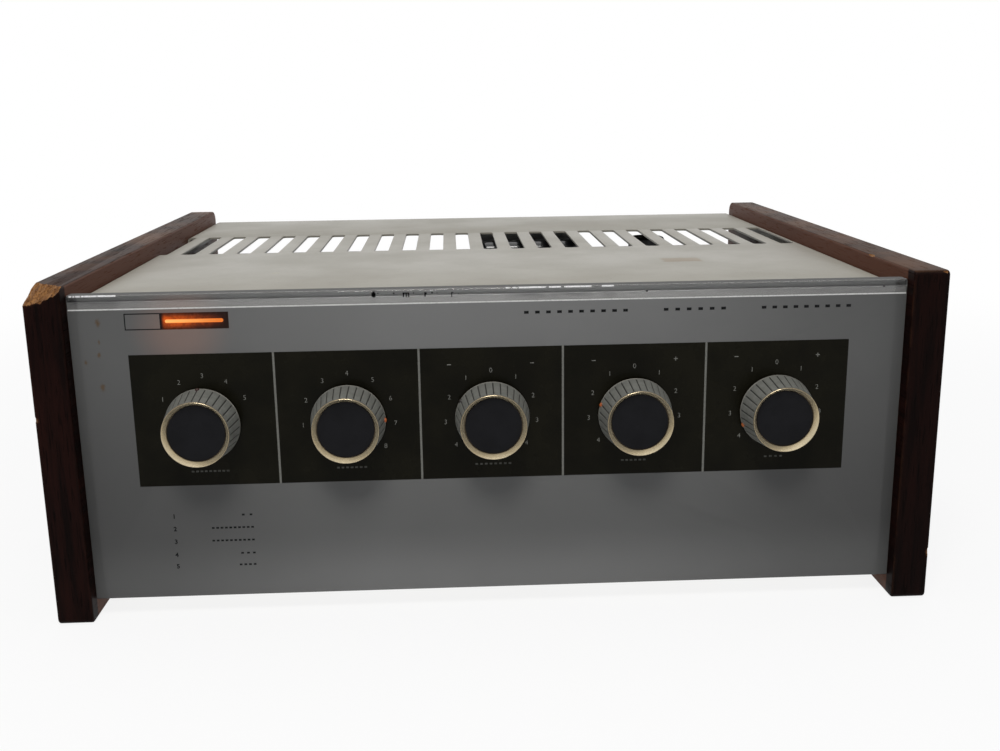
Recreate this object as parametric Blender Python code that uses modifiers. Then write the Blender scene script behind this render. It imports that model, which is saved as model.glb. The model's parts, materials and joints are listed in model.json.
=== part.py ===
"""Integrated valve amplifier: five knobs on a clear fascia, slotted steel cover, wooden side panels.

Metres. +X is right, +Y is towards the back, +Z is up, and the side panels stand on z = 0.
The origin is below the middle of the whole box, knobs included.
"""

import math

import bmesh
import bpy
from mathutils import Matrix, Vector

# Case
CASE_WIDTH = 0.360  # between the side panels
CASE_HEIGHT = 0.1341  # underside of the base plate to the cover's top
CASE_RISE = 0.009  # base plate above the ground
SHEET = 0.0012  # steel sheet of cover, panels, chassis and base plate
FOLD_RADIUS = 0.002
GAP = 0.0003  # clearance between pieces that touch
OVERRUN = 0.002  # how far a cutter passes the face it cuts
WELD = 0.00001  # points closer than this are one point

# Wooden side panels
SIDE_THICKNESS = 0.0157
SIDE_DEPTH = 0.3304
SIDE_PROUD = 0.0078  # their top edges above the cover
SIDE_OVERHANG = 0.0065  # how far the panels stand ahead of the fascia
SIDE_REAR_RADIUS = 0.007
SIDE_CORNER_RADIUS = 0.0025
SIDE_EDGE_RADIUS = 0.0012

# Fascia window, and the steel panel behind it
PANEL_FOLD = 0.009  # the panel's fold under the cover
WINDOW_THICKNESS = 0.003
WINDOW_BEND_RADIUS = 0.0062
WINDOW_LIP = 0.012  # how far its top lip reaches back from the face

# Cover and its vents
COVER_SKIRT = 0.009
SLOT_PITCH = 0.0152
SLOT_WIDTH = 0.0078
SLOT_LENGTH = 0.0795
SLOT_RADIUS = 0.002
SLOT_LEAD = 0.0275  # the slots' front ends ahead of the output valves
SLOT_INSET = 0.0077  # middle of the last slot in from the right

# Base plate's air slots, in rows below the preamplifier and output valves
BASE_SLOT_COUNT = 5
BASE_SLOT_PITCH = 0.056
BASE_SLOT_WIDTH = 0.006
BASE_SLOT_SHARE = 0.47  # length, of the distance between the two rows

# Controls
CONTROL_NAMES = ("selector", "volume", "balance", "treble", "bass")
POINTER_DEGREES = (-3.0, 88.0, -59.0, -72.0, -111.0)  # clockwise from straight up, as seen from the front
CONTROL_PITCH_SHARE = 0.17417  # of the case's width
CONTROL_ROW_CENTRE = -0.0011
CONTROL_DROP = 0.0538  # below the cover's top
SPINDLE_RADIUS = 0.003175
BUSH_RADIUS = 0.00475
BUSH_LENGTH = 0.0042
BUSH_WINDOW_RADIUS = 0.008  # hole in the window, round the bush and its nut

# Knobs, measured along their axis from the fascia face
KNOB_STANDOFF = 0.0015
KNOB_LENGTH = 0.0157
KNOB_SKIRT_RADIUS = 0.01627
KNOB_FRONT_RADIUS = 0.0142
KNOB_BAND = 0.0008  # plain band behind the flutes
KNOB_RIM = 0.0012  # plain rim ahead of them
KNOB_FACE_RADIUS = 0.0123
KNOB_FUNNEL_DEPTH = 0.0024
KNOB_WEB = 0.0022  # metal between the bore and the disc's seat
KNOB_FLUTES = 30
FLUTE_DEPTH = 0.0005
KNOB_DISC_THICKNESS = 0.001
KNOB_DISC_DISH = 0.0003
PIP_RADIUS = 0.0009
PIP_PROUD = 0.0007
PIP_DEPTH = 0.001

# Chassis and back
CHASSIS_HEIGHT = 0.040  # its top above the base plate's underside
BACK_RECESS = 0.010  # back panel in from the side panels' back edges
REAR_AIR_GAP = 0.0206  # back panel's top edge below the cover's top
BACK_FOLD = 0.005
SOCKET_HEIGHT = 0.021  # centre line of everything on the back, above the base plate's underside

# Rows on the chassis
TRANSFORMER_INSET = 0.0604  # transformers' middle ahead of the chassis's back edge
OUTPUT_VALVE_LEAD = 0.072  # output valves ahead of the transformers
PREAMP_VALVE_SETBACK = 0.095  # preamplifier valves behind the fascia face

# Derived planes
HALF_INSIDE = CASE_WIDTH / 2 - GAP
CASE_TOP = CASE_RISE + CASE_HEIGHT
SIDE_HEIGHT = CASE_TOP + SIDE_PROUD
KNOB_REACH = KNOB_STANDOFF + KNOB_LENGTH
FACE_Y = (KNOB_REACH - (SIDE_DEPTH - SIDE_OVERHANG)) / 2
BACK_Y = FACE_Y + SIDE_DEPTH - SIDE_OVERHANG
PANEL_Y = FACE_Y + WINDOW_THICKNESS + GAP
PANEL_BACK_Y = PANEL_Y + SHEET
BASE_TOP = CASE_RISE + SHEET
CHASSIS_TOP = CASE_RISE + CHASSIS_HEIGHT
CHASSIS_FRONT_Y = PANEL_BACK_Y + GAP
REAR_PLATE_Y = BACK_Y - BACK_RECESS  # outside face of the back panel
CHASSIS_BACK_Y = REAR_PLATE_Y - SHEET - GAP
TRANSFORMER_Y = CHASSIS_BACK_Y - TRANSFORMER_INSET
OUTPUT_VALVE_Y = TRANSFORMER_Y - OUTPUT_VALVE_LEAD
PREAMP_VALVE_Y = FACE_Y + PREAMP_VALVE_SETBACK
CONTROL_Z = CASE_TOP - CONTROL_DROP
SOCKET_Z = CASE_RISE + SOCKET_HEIGHT

RIGHT_ANGLE = math.pi / 2
ALONG_X = (RIGHT_ANGLE, 0, RIGHT_ANGLE)  # turns an outline drawn as (y, z) to its place
FORWARD = (RIGHT_ANGLE, 0, 0)  # turns local +Z to point out of the fascia
BACKWARD = (-RIGHT_ANGLE, 0, 0)


def start_scene():
    for obj in list(bpy.data.objects):
        bpy.data.objects.remove(obj, do_unlink=True)
    parts = bpy.data.collections.new("integrated_amplifier")
    cutters = bpy.data.collections.new("cutters")
    for collection in (parts, cutters):
        bpy.context.scene.collection.children.link(collection)
    return parts, cutters


PARTS, CUTTERS = start_scene()


def material(name, colour, roughness, metallic=0.0, alpha=1.0):
    mat = bpy.data.materials.new(name)
    mat.use_nodes = True
    shader = mat.node_tree.nodes["Principled BSDF"]
    shader.inputs["Base Color"].default_value = (*colour, 1.0)
    shader.inputs["Roughness"].default_value = roughness
    shader.inputs["Metallic"].default_value = metallic
    shader.inputs["Alpha"].default_value = alpha
    mat.diffuse_color = (*colour, alpha)
    return mat


WALNUT = material("walnut", (0.09, 0.035, 0.018), 0.45)
BEIGE_PAINT = material("beige_paint", (0.38, 0.37, 0.33), 0.45)
GREY_PAINT = material("grey_paint", (0.16, 0.165, 0.165), 0.4)
BACK_PAINTED_ACRYLIC = material("back_painted_acrylic", (0.11, 0.115, 0.115), 0.12)
AMBER_PLASTIC = material("amber_plastic", (0.8, 0.25, 0.03), 0.3)
ZINC = material("zinc_plated_steel", (0.55, 0.55, 0.53), 0.4, 0.9)
ALUMINIUM = material("turned_aluminium", (0.42, 0.42, 0.41), 0.35, 0.9)
DARK_INLAY = material("dark_inlay", (0.03, 0.03, 0.035), 0.35)
NICKEL = material("nickel_plate", (0.6, 0.58, 0.52), 0.25, 1.0)
PAXOLIN = material("paxolin", (0.28, 0.13, 0.05), 0.5)
BLACK_ENAMEL = material("black_enamel", (0.012, 0.012, 0.014), 0.25)
IRON = material("lamination_iron", (0.12, 0.12, 0.13), 0.6, 0.8)
WINDING = material("winding_paper", (0.35, 0.24, 0.10), 0.7)
VALVE_GLASS = material("valve_glass", (0.6, 0.62, 0.62), 0.05, alpha=0.4)
BLACK_PLASTIC = material("black_plastic", (0.02, 0.02, 0.02), 0.35)
RUBBER = material("black_rubber", (0.02, 0.02, 0.02), 0.8)
CREAM_CERAMIC = material("cream_ceramic", (0.6, 0.55, 0.45), 0.4)


def add(name, mesh, mat, place=(0, 0, 0), turn=(0, 0, 0), collection=PARTS):
    """One object from a mesh, in its collection and with its own material."""
    obj = bpy.data.objects.new(name, mesh)
    if not mesh.materials:
        mesh.materials.append(mat)
    obj.location = place
    obj.rotation_euler = turn
    collection.objects.link(obj)
    return obj


def mesh_from(bm, name):
    bmesh.ops.recalc_face_normals(bm, faces=bm.faces)
    mesh = bpy.data.meshes.new(name)
    bm.to_mesh(mesh)
    bm.free()
    return mesh


def cuboid(bm, low, high, corner=0.0, upright=None, steps=3):
    """Adds a box to bm. With a corner radius, the edges that run along axis number upright are rounded."""
    size = Vector(high) - Vector(low)
    middle = (Vector(high) + Vector(low)) / 2
    made = bmesh.ops.create_cube(bm, size=1.0, matrix=Matrix.Translation(middle) @ Matrix.Diagonal((*size, 1)))
    if corner:
        edges = {e for v in made["verts"] for e in v.link_edges}
        along = [e for e in edges if upright is None or runs_along(e, upright)]
        bmesh.ops.bevel(bm, geom=along, offset=corner, segments=steps, affect="EDGES", profile=0.5)


def runs_along(edge, axis):
    step = edge.verts[1].co - edge.verts[0].co
    return abs(step[axis]) > 0.99 * step.length


def box(name, low, high, mat, **corner):
    bm = bmesh.new()
    cuboid(bm, low, high, **corner)
    return add(name, mesh_from(bm, name), mat)


def rods(bm, places, radius, start, end, sides=12):
    """Adds a cylinder to bm for each (x, y) place, from start to end along local Z."""
    for x, y in places:
        middle = Matrix.Translation((x, y, (start + end) / 2))
        bmesh.ops.create_cone(
            bm, cap_ends=True, segments=sides, radius1=radius, radius2=radius, depth=abs(end - start), matrix=middle
        )


def cutter(name, bm, place=(0, 0, 0), turn=(0, 0, 0)):
    """A hidden object for a Boolean, which may hold several closed bodies."""
    obj = add(name, mesh_from(bm, name), IRON, place, turn, CUTTERS)
    obj.hide_render = True
    obj.display_type = "WIRE"
    return obj


def combine(obj, other, operation="DIFFERENCE"):
    modifier = obj.modifiers.new(operation.lower(), "BOOLEAN")
    modifier.operation = operation
    modifier.object = other
    return modifier


def bevel(obj, width, segments=2):
    modifier = obj.modifiers.new("edges", "BEVEL")
    modifier.width = width
    modifier.segments = segments
    modifier.limit_method = "ANGLE"
    modifier.angle_limit = math.radians(40)


def turned(name, profile, mat, place=(0, 0, 0), turn=(0, 0, 0), steps=24, ring=False):
    """A turned piece: (radius, height) points down its outer side, closed into a ring for a bored piece."""
    mesh = bpy.data.meshes.new(name)
    count = len(profile)
    edges = [(i, (i + 1) % count) for i in range(count if ring else count - 1)]
    mesh.from_pydata([(radius, 0, height) for radius, height in profile], edges, [])
    obj = add(name, mesh, mat, place, turn)
    screw = obj.modifiers.new("turn", "SCREW")
    screw.steps = screw.render_steps = steps
    screw.use_merge_vertices = True
    screw.merge_threshold = WELD
    screw.use_smooth_shade = True
    return obj


def settled(obj):
    """The object's mesh with its modifiers applied."""
    return bpy.data.meshes.new_from_object(obj.evaluated_get(bpy.context.evaluated_depsgraph_get()))


def slab(name, outline, half_thickness, mat, place=(0, 0, 0), turn=(0, 0, 0)):
    """A flat outline given its thickness, as a mesh that can be cut."""
    curve = bpy.data.curves.new(name, "CURVE")
    curve.dimensions = "2D"
    curve.fill_mode = "BOTH"
    curve.extrude = half_thickness
    curve.render_resolution_u = 0
    spline = curve.splines.new("POLY")
    spline.points.add(len(outline) - 1)
    for point, (u, v) in zip(spline.points, outline):
        point.co = (u, v, 0, 1)
    spline.use_cyclic_u = True
    drawn = bpy.data.objects.new(name + "_outline", curve)
    PARTS.objects.link(drawn)
    bm = bmesh.new()
    bm.from_mesh(settled(drawn))
    bpy.data.objects.remove(drawn)
    bmesh.ops.remove_doubles(bm, verts=bm.verts, dist=WELD)
    bmesh.ops.dissolve_limit(bm, angle_limit=math.radians(1), verts=bm.verts, edges=bm.edges)
    return add(name, mesh_from(bm, name), mat, place, turn)


def rounded(points, radii, steps=4, closed=True):
    """A polyline with each corner drawn as an arc; a radius of 0 leaves the corner sharp."""
    count = len(points)
    result = []
    for i, (point, radius) in enumerate(zip(points, radii)):
        here = Vector(point)
        if not radius or (not closed and i in (0, count - 1)):
            result.append(tuple(here))
            continue
        back = (Vector(points[i - 1]) - here).normalized()
        ahead = (Vector(points[(i + 1) % count]) - here).normalized()
        half = back.angle(ahead) / 2
        centre = here + (back + ahead).normalized() * radius / math.sin(half)
        first = here + back * radius / math.tan(half) - centre
        last = here + ahead * radius / math.tan(half) - centre
        for step in range(steps + 1):
            result.append(tuple(centre + first.slerp(last, step / steps) * radius))
    return result


def folded_sheet(name, section, half_width, mat, centre_x=0.0):
    """Sheet metal folded to a section of (y, z) points on its middle layer, running along X."""
    bm = bmesh.new()
    verts = [bm.verts.new((centre_x - half_width, y, z)) for y, z in section]
    edges = [bm.edges.new(pair) for pair in zip(verts, verts[1:])]
    swept = bmesh.ops.extrude_edge_only(bm, edges=edges)
    moved = [v for v in swept["geom"] if isinstance(v, bmesh.types.BMVert)]
    bmesh.ops.translate(bm, vec=(2 * half_width, 0, 0), verts=moved)
    obj = add(name, mesh_from(bm, name), mat)
    thicken(obj)
    return obj


def tray(name, low, high, mat, open_end):
    """A folded sheet-steel tray with its outer faces at low and high, open below and at its front (-1) or back (1)."""
    half = Vector((SHEET, SHEET, SHEET)) / 2
    low, high = Vector(low) + half, Vector(high) - half
    low.z -= half.z
    if open_end < 0:
        low.y -= half.y
    else:
        high.y += half.y
    bm = bmesh.new()
    cuboid(bm, low, high)
    bm.normal_update()
    unwanted = [f for f in bm.faces if f.normal.z < -0.5 or f.normal.y * open_end > 0.5]
    bmesh.ops.delete(bm, geom=unwanted, context="FACES")
    folds = [e for e in bm.edges if len(e.link_faces) == 2]
    bmesh.ops.bevel(bm, geom=folds, offset=FOLD_RADIUS, segments=3, affect="EDGES", profile=0.5)
    obj = add(name, mesh_from(bm, name), mat)
    thicken(obj)
    return obj


def thicken(obj):
    modifier = obj.modifiers.new("sheet", "SOLIDIFY")
    modifier.thickness = SHEET
    modifier.offset = 0
    modifier.use_even_offset = True


def control_x(index):
    return CONTROL_ROW_CENTRE + (index - (len(CONTROL_NAMES) - 1) / 2) * CONTROL_PITCH_SHARE * CASE_WIDTH


# Wooden side panels


def side_panel(name, side):
    front, back = FACE_Y - SIDE_OVERHANG, BACK_Y
    outline = rounded(
        [(front, 0), (back, 0), (back, SIDE_HEIGHT), (front, SIDE_HEIGHT)],
        [SIDE_CORNER_RADIUS, SIDE_CORNER_RADIUS, SIDE_REAR_RADIUS, SIDE_CORNER_RADIUS],
    )
    centre_x = side * (CASE_WIDTH + SIDE_THICKNESS) / 2
    panel = slab(name, outline, SIDE_THICKNESS / 2, WALNUT, (centre_x, 0, 0), ALONG_X)
    bevel(panel, SIDE_EDGE_RADIUS)


# Painted sheet-steel case


def top_cover():
    low = (-HALF_INSIDE, FACE_Y + WINDOW_BEND_RADIUS + GAP, CASE_TOP - COVER_SKIRT)
    cover = tray("top_cover", low, (HALF_INSIDE, BACK_Y, CASE_TOP), BEIGE_PAINT, open_end=-1)
    front = OUTPUT_VALVE_Y - SLOT_LEAD
    count = 1 + int((2 * HALF_INSIDE - SLOT_INSET) / SLOT_PITCH)  # the last one runs out at the left edge
    bm = bmesh.new()
    for i in range(count):
        middle = HALF_INSIDE - SLOT_INSET - i * SLOT_PITCH
        cuboid(
            bm,
            (middle - SLOT_WIDTH / 2, front, CASE_TOP - SHEET - OVERRUN),
            (middle + SLOT_WIDTH / 2, front + SLOT_LENGTH, CASE_TOP + OVERRUN),
            corner=SLOT_RADIUS,
            upright=2,
            steps=1,
        )
    combine(cover, cutter("vent_slots", bm))


def front_panel():
    """Steel panel behind the window: it carries the controls and the lamp, and its top fold the cover."""
    middle_y, top = PANEL_Y + SHEET / 2, CASE_TOP - SHEET - GAP - SHEET / 2
    section = rounded(
        [(middle_y, BASE_TOP + GAP), (middle_y, top), (middle_y + PANEL_FOLD, top)], [0, FOLD_RADIUS, 0], 3, closed=False
    )
    panel = folded_sheet("front_panel", section, HALF_INSIDE - SHEET - GAP - FOLD_RADIUS, GREY_PAINT)
    bm = bmesh.new()
    holes = [(control_x(i), CONTROL_Z) for i in range(len(CONTROL_NAMES))]
    rods(bm, holes, BUSH_RADIUS + GAP, -SHEET - OVERRUN, SHEET + OVERRUN)
    combine(panel, cutter("panel_bush_holes", bm, (0, middle_y, 0), FORWARD))
    bm = bmesh.new()
    half = Vector((LAMP_WIDTH / 2, SHEET + OVERRUN, LAMP_HEIGHT / 2))
    middle = Vector((LAMP_X, middle_y, LAMP_Z))
    cuboid(bm, middle - half, middle + half)
    combine(panel, cutter("panel_lamp_aperture", bm))


def fascia_window():
    top = CASE_TOP + GAP + WINDOW_THICKNESS
    face, back, lip = FACE_Y, FACE_Y + WINDOW_THICKNESS, FACE_Y + WINDOW_LIP
    inner = WINDOW_BEND_RADIUS - WINDOW_THICKNESS
    outline = rounded(
        [
            (face, CASE_RISE),
            (back, CASE_RISE),
            (back, top - WINDOW_THICKNESS),
            (lip, top - WINDOW_THICKNESS),
            (lip, top),
            (face, top),
        ],
        [0, 0, inner, WINDOW_THICKNESS / 5, WINDOW_THICKNESS / 5, WINDOW_BEND_RADIUS],
        4,
    )
    window = slab("fascia_window", outline, HALF_INSIDE, BACK_PAINTED_ACRYLIC, turn=ALONG_X)
    bm = bmesh.new()
    holes = [(control_x(i), CONTROL_Z) for i in range(len(CONTROL_NAMES))]
    rods(bm, holes, BUSH_WINDOW_RADIUS, -WINDOW_THICKNESS - OVERRUN, OVERRUN, sides=16)
    combine(window, cutter("window_bush_holes", bm, (0, FACE_Y, 0), FORWARD))


def base_plate():
    """Flat plate with two rows of air slots below the valves."""
    plate = box(
        "base_plate", (-HALF_INSIDE, PANEL_Y, CASE_RISE), (HALF_INSIDE, REAR_PLATE_Y, BASE_TOP), ZINC
    )
    bm = bmesh.new()
    length = BASE_SLOT_SHARE * (OUTPUT_VALVE_Y - PREAMP_VALVE_Y)
    for y in (PREAMP_VALVE_Y, OUTPUT_VALVE_Y):
        for i in range(BASE_SLOT_COUNT):
            x = (i - (BASE_SLOT_COUNT - 1) / 2) * BASE_SLOT_PITCH
            cuboid(
                bm,
                (x - BASE_SLOT_WIDTH / 2, y - length / 2, CASE_RISE - OVERRUN),
                (x + BASE_SLOT_WIDTH / 2, y + length / 2, BASE_TOP + OVERRUN),
                corner=BASE_SLOT_WIDTH / 3,
                upright=2,
                steps=1,
            )
    combine(plate, cutter("base_air_slots", bm))


# Lamp behind its amber window, at the fascia's upper left
LAMP_INSET = 0.053  # in from the left
LAMP_DROP = 0.0082  # below the cover's top
LAMP_X = LAMP_INSET - HALF_INSIDE
LAMP_Z = CASE_TOP - LAMP_DROP
LAMP_WIDTH = 0.0285
LAMP_HEIGHT = 0.0072
LAMP_LAP = 0.0011  # amber strip beyond its aperture
LAMP_STRIP = 0.0015
BULB_RADIUS = 0.0045
BULB_LENGTH = 0.024
BULB_BASE_RADIUS = 0.0042
BULB_BASE_LENGTH = 0.0095
BULB_STANDOFF = 0.004  # behind the amber strip
LAMP_SHELL = 0.0007  # wall of the holder's screw shell
BRACKET_WIDTH = 0.010
BRACKET_DROP = 0.013  # bracket's shelf below the bulb's axis
BRACKET_FOOT = 0.014


def pilot_lamp():
    strip_y = PANEL_BACK_Y + GAP
    half = Vector((LAMP_WIDTH / 2 + LAMP_LAP, 0, LAMP_HEIGHT / 2 + LAMP_LAP))
    middle = Vector((LAMP_X, strip_y, LAMP_Z))
    box("lamp_window", middle - half, middle + half + Vector((0, LAMP_STRIP, 0)), AMBER_PLASTIC)

    tip_y = strip_y + LAMP_STRIP + BULB_STANDOFF
    neck = BULB_LENGTH - BULB_BASE_LENGTH
    dome = [
        (BULB_RADIUS * math.sin(a), BULB_RADIUS * (math.cos(a) - 1))
        for a in (RIGHT_ANGLE * k / 4 for k in range(5))
    ]
    shoulder = BULB_RADIUS - BULB_BASE_RADIUS
    profile = dome + [
        (BULB_RADIUS, -neck + 2 * shoulder),
        (BULB_BASE_RADIUS, -neck),
        (BULB_BASE_RADIUS, -BULB_LENGTH + shoulder),
        (0, -BULB_LENGTH),
    ]
    turned("pilot_lamp", profile, VALVE_GLASS, (LAMP_X, tip_y, LAMP_Z), FORWARD, steps=12)

    end_y = tip_y + BULB_LENGTH + GAP + SHEET / 2
    shelf_z = LAMP_Z - BRACKET_DROP
    foot_y = PANEL_BACK_Y + GAP + SHEET / 2
    section = rounded(
        [(foot_y, shelf_z - BRACKET_FOOT), (foot_y, shelf_z), (end_y, shelf_z), (end_y, LAMP_Z + BULB_BASE_RADIUS)],
        [0, FOLD_RADIUS, FOLD_RADIUS, 0],
        2,
        closed=False,
    )
    holder = folded_sheet("lamp_holder", section, BRACKET_WIDTH / 2, ZINC, LAMP_X)
    inner = BULB_BASE_RADIUS + GAP
    outer = inner + LAMP_SHELL
    front = BULB_BASE_LENGTH - 2 * shoulder
    shell = turned(
        "lamp_shell",
        [(inner, front), (outer, front), (outer, 0), (inner, 0)],
        ZINC,
        (LAMP_X, end_y, LAMP_Z),
        FORWARD,
        steps=12,
        ring=True,
    )
    hide_away(shell)
    combine(holder, shell, "UNION")


def hide_away(obj):
    """Makes a cutter of an object that is joined to another."""
    PARTS.objects.unlink(obj)
    CUTTERS.objects.link(obj)
    obj.hide_render = True
    obj.display_type = "WIRE"


# Controls: each knob, its disc and its spindle turn together on the axis of an empty


def knob_mesh():
    """Solid fluted knob, turned about local Z, which points out of the fascia, with its pip at +Y."""
    back, front = KNOB_STANDOFF, KNOB_REACH
    seat = front - KNOB_FUNNEL_DEPTH - KNOB_DISC_THICKNESS
    bore_end = seat - KNOB_WEB
    slope = (KNOB_SKIRT_RADIUS - KNOB_FRONT_RADIUS) / KNOB_LENGTH
    profile = [
        (0, seat),
        (KNOB_FACE_RADIUS, seat),
        (KNOB_FACE_RADIUS, front - KNOB_FUNNEL_DEPTH),
        (KNOB_FRONT_RADIUS - KNOB_RIM / 4, front),
        (KNOB_FRONT_RADIUS, front - KNOB_RIM / 3),
        (KNOB_SKIRT_RADIUS, back),
        (0, back),
    ]
    knob = turned("knob_blank", profile, ALUMINIUM, steps=KNOB_FLUTES)
    bm = bmesh.new()
    rods(bm, [(0, 0)], SPINDLE_RADIUS + GAP, back - OVERRUN, bore_end)
    combine(knob, cutter("knob_bore", bm))

    wedge = 2 * FLUTE_DEPTH / 1.5  # radius of a three-sided cutter twice as high as a groove is deep
    start, end = back + KNOB_BAND, front - KNOB_RIM
    lean = Matrix.Rotation(-math.atan(slope), 4, "Y")
    apex_inward = Matrix.Rotation(RIGHT_ANGLE, 4, "Z")
    radius_mid = KNOB_SKIRT_RADIUS - slope * ((start + end) / 2 - back) + wedge - FLUTE_DEPTH
    bm = bmesh.new()
    for i in range(KNOB_FLUTES):
        around = Matrix.Rotation(2 * math.pi * i / KNOB_FLUTES, 4, "Z")
        place = Matrix.Translation((radius_mid, 0, (start + end) / 2))
        bmesh.ops.create_cone(
            bm,
            cap_ends=True,
            segments=3,
            radius1=wedge,
            radius2=wedge,
            depth=end - start,
            matrix=around @ place @ lean @ apex_inward,
        )
    combine(knob, cutter("knob_flutes", bm))

    bm = bmesh.new()
    rods(bm, [(0, 0)], PIP_RADIUS, -PIP_DEPTH, PIP_PROUD, sides=8)
    combine(knob, cutter("knob_pip", bm, (0, KNOB_SKIRT_RADIUS, back + PIP_RADIUS), BACKWARD), "UNION")
    mesh = settled(knob)
    bpy.data.objects.remove(knob)
    return mesh, seat, bore_end


def disc_profile(seat):
    radius = KNOB_FACE_RADIUS - GAP
    bottom = seat + GAP
    top = bottom + KNOB_DISC_THICKNESS - GAP
    dish = [(radius * k / 2, top - KNOB_DISC_DISH * (1 - (k / 2) ** 2)) for k in range(3)]
    return dish + [(radius, bottom), (0, bottom)]


def control(index, mesh, seat, bore_end, body):
    """One knob with its disc and spindle, and the fixed body of its control behind the panel."""
    name = CONTROL_NAMES[index]
    axis = bpy.data.objects.new(name + "_axis", None)
    axis.location = (control_x(index), FACE_Y, CONTROL_Z)
    axis.rotation_euler = (RIGHT_ANGLE, math.radians(POINTER_DEGREES[index]), 0)
    PARTS.objects.link(axis)
    body_back = -(PANEL_BACK_Y + GAP - FACE_Y) - sum(length for _, length in body)
    knob = add(name + "_knob", mesh, ALUMINIUM)
    disc = turned(name + "_knob_disc", disc_profile(seat), DARK_INLAY, steps=20)
    top = bore_end - GAP
    chamfer = SPINDLE_RADIUS / 6
    spindle = turned(
        name + "_spindle",
        [
            (0, top),
            (SPINDLE_RADIUS - chamfer, top),
            (SPINDLE_RADIUS, top - chamfer),
            (SPINDLE_RADIUS, body_back + chamfer),
            (0, body_back + chamfer),
        ],
        NICKEL,
        steps=12,
    )
    for piece in (knob, disc, spindle):
        piece.parent = axis


# Each control's body as (radius, length) steps going back from the panel
POT_STEPS = ((0.0125, 0.0090), (0.0105, 0.0014), (0.0125, 0.0090))
SWITCH_STEPS = ((0.0150, 0.0016), (0.0055, 0.0080), (0.0170, 0.0016), (0.0055, 0.0080), (0.0170, 0.0016))
TIE_ROD_RADIUS = 0.0016
TIE_ROD_SPREAD = 0.0125
TAG_WIDTH = 0.0022
TAG_THICKNESS = 0.0008
TAG_DROP = 0.0045
TAG_PITCH = 0.0055


def control_body(index, steps, mat, kind):
    """Bush and stepped body, bored for the spindle, standing behind the panel."""
    face = -(PANEL_BACK_Y + GAP - FACE_Y)
    bore = SPINDLE_RADIUS + GAP
    profile = [(bore, face + BUSH_LENGTH), (BUSH_RADIUS, face + BUSH_LENGTH), (BUSH_RADIUS, face)]
    depth = face
    for radius, length in steps:
        profile += [(radius, depth), (radius, depth - length)]
        depth -= length
    profile.append((bore, depth))
    place = (control_x(index), FACE_Y, CONTROL_Z)
    name = CONTROL_NAMES[index] + kind
    return turned(name, profile, mat, place, FORWARD, steps=12, ring=True), face


def selector_switch(index):
    body, face = control_body(index, SWITCH_STEPS, PAXOLIN, "_switch")
    depth = sum(length for _, length in SWITCH_STEPS)
    plate = SWITCH_STEPS[0][1]
    bm = bmesh.new()
    rods(
        bm,
        [(-TIE_ROD_SPREAD, 0), (TIE_ROD_SPREAD, 0)],
        TIE_ROD_RADIUS,
        face - plate / 2,
        face - depth - plate,
        sides=6,
    )
    combine(body, cutter("switch_tie_rods", bm, body.location, FORWARD), "UNION")


def potentiometer(index):
    body, face = control_body(index, POT_STEPS, ZINC, "_pot")
    radius, gang = POT_STEPS[0]
    bm = bmesh.new()
    for depth in (gang / 2, sum(length for _, length in POT_STEPS) - gang / 2):
        for tag in (-1, 0, 1):
            x, z = tag * TAG_PITCH, face - depth
            cuboid(
                bm,
                (x - TAG_WIDTH / 2, -radius - TAG_DROP, z - TAG_THICKNESS / 2),
                (x + TAG_WIDTH / 2, -radius / 2, z + TAG_THICKNESS / 2),
            )
    combine(body, cutter(body.name + "_tags", bm, body.location, FORWARD), "UNION")


def controls():
    mesh, seat, bore_end = knob_mesh()
    for index in range(len(CONTROL_NAMES)):
        steps = SWITCH_STEPS if index == 0 else POT_STEPS
        control(index, mesh, seat, bore_end, steps)
        if index == 0:
            selector_switch(index)
        else:
            potentiometer(index)


# Chassis tray and what stands on it
VALVE_RADIUS = 0.0105
OUTPUT_VALVE_HEIGHT = 0.065
PREAMP_VALVE_HEIGHT = 0.049
OUTPUT_VALVE_COUNT = 4
OUTPUT_VALVE_PITCH = 0.048
PREAMP_VALVE_COUNT = 2
PREAMP_VALVE_PITCH = 0.080
HOLDER_RADIUS = 0.009
HOLDER_FLANGE_RADIUS = 0.0125
HOLDER_FLANGE = 0.0016
HOLDER_DEPTH = 0.011
CAPACITOR_RADIUS = 0.0115
CAPACITOR_GAP = 0.0015  # beside the right output transformer
CAPACITOR_HEADROOM = 0.0056  # below the cover


def valve_row(kind, count, pitch, y, height):
    return [("%s_valve_%d" % (kind, i + 1), ((i - (count - 1) / 2) * pitch, y), height) for i in range(count)]


def valve_places():
    """Name, (x, y) and height of every valve."""
    output = valve_row("output", OUTPUT_VALVE_COUNT, OUTPUT_VALVE_PITCH, OUTPUT_VALVE_Y, OUTPUT_VALVE_HEIGHT)
    preamp = valve_row("preamp", PREAMP_VALVE_COUNT, PREAMP_VALVE_PITCH, PREAMP_VALVE_Y, PREAMP_VALVE_HEIGHT)
    return output + preamp


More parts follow.
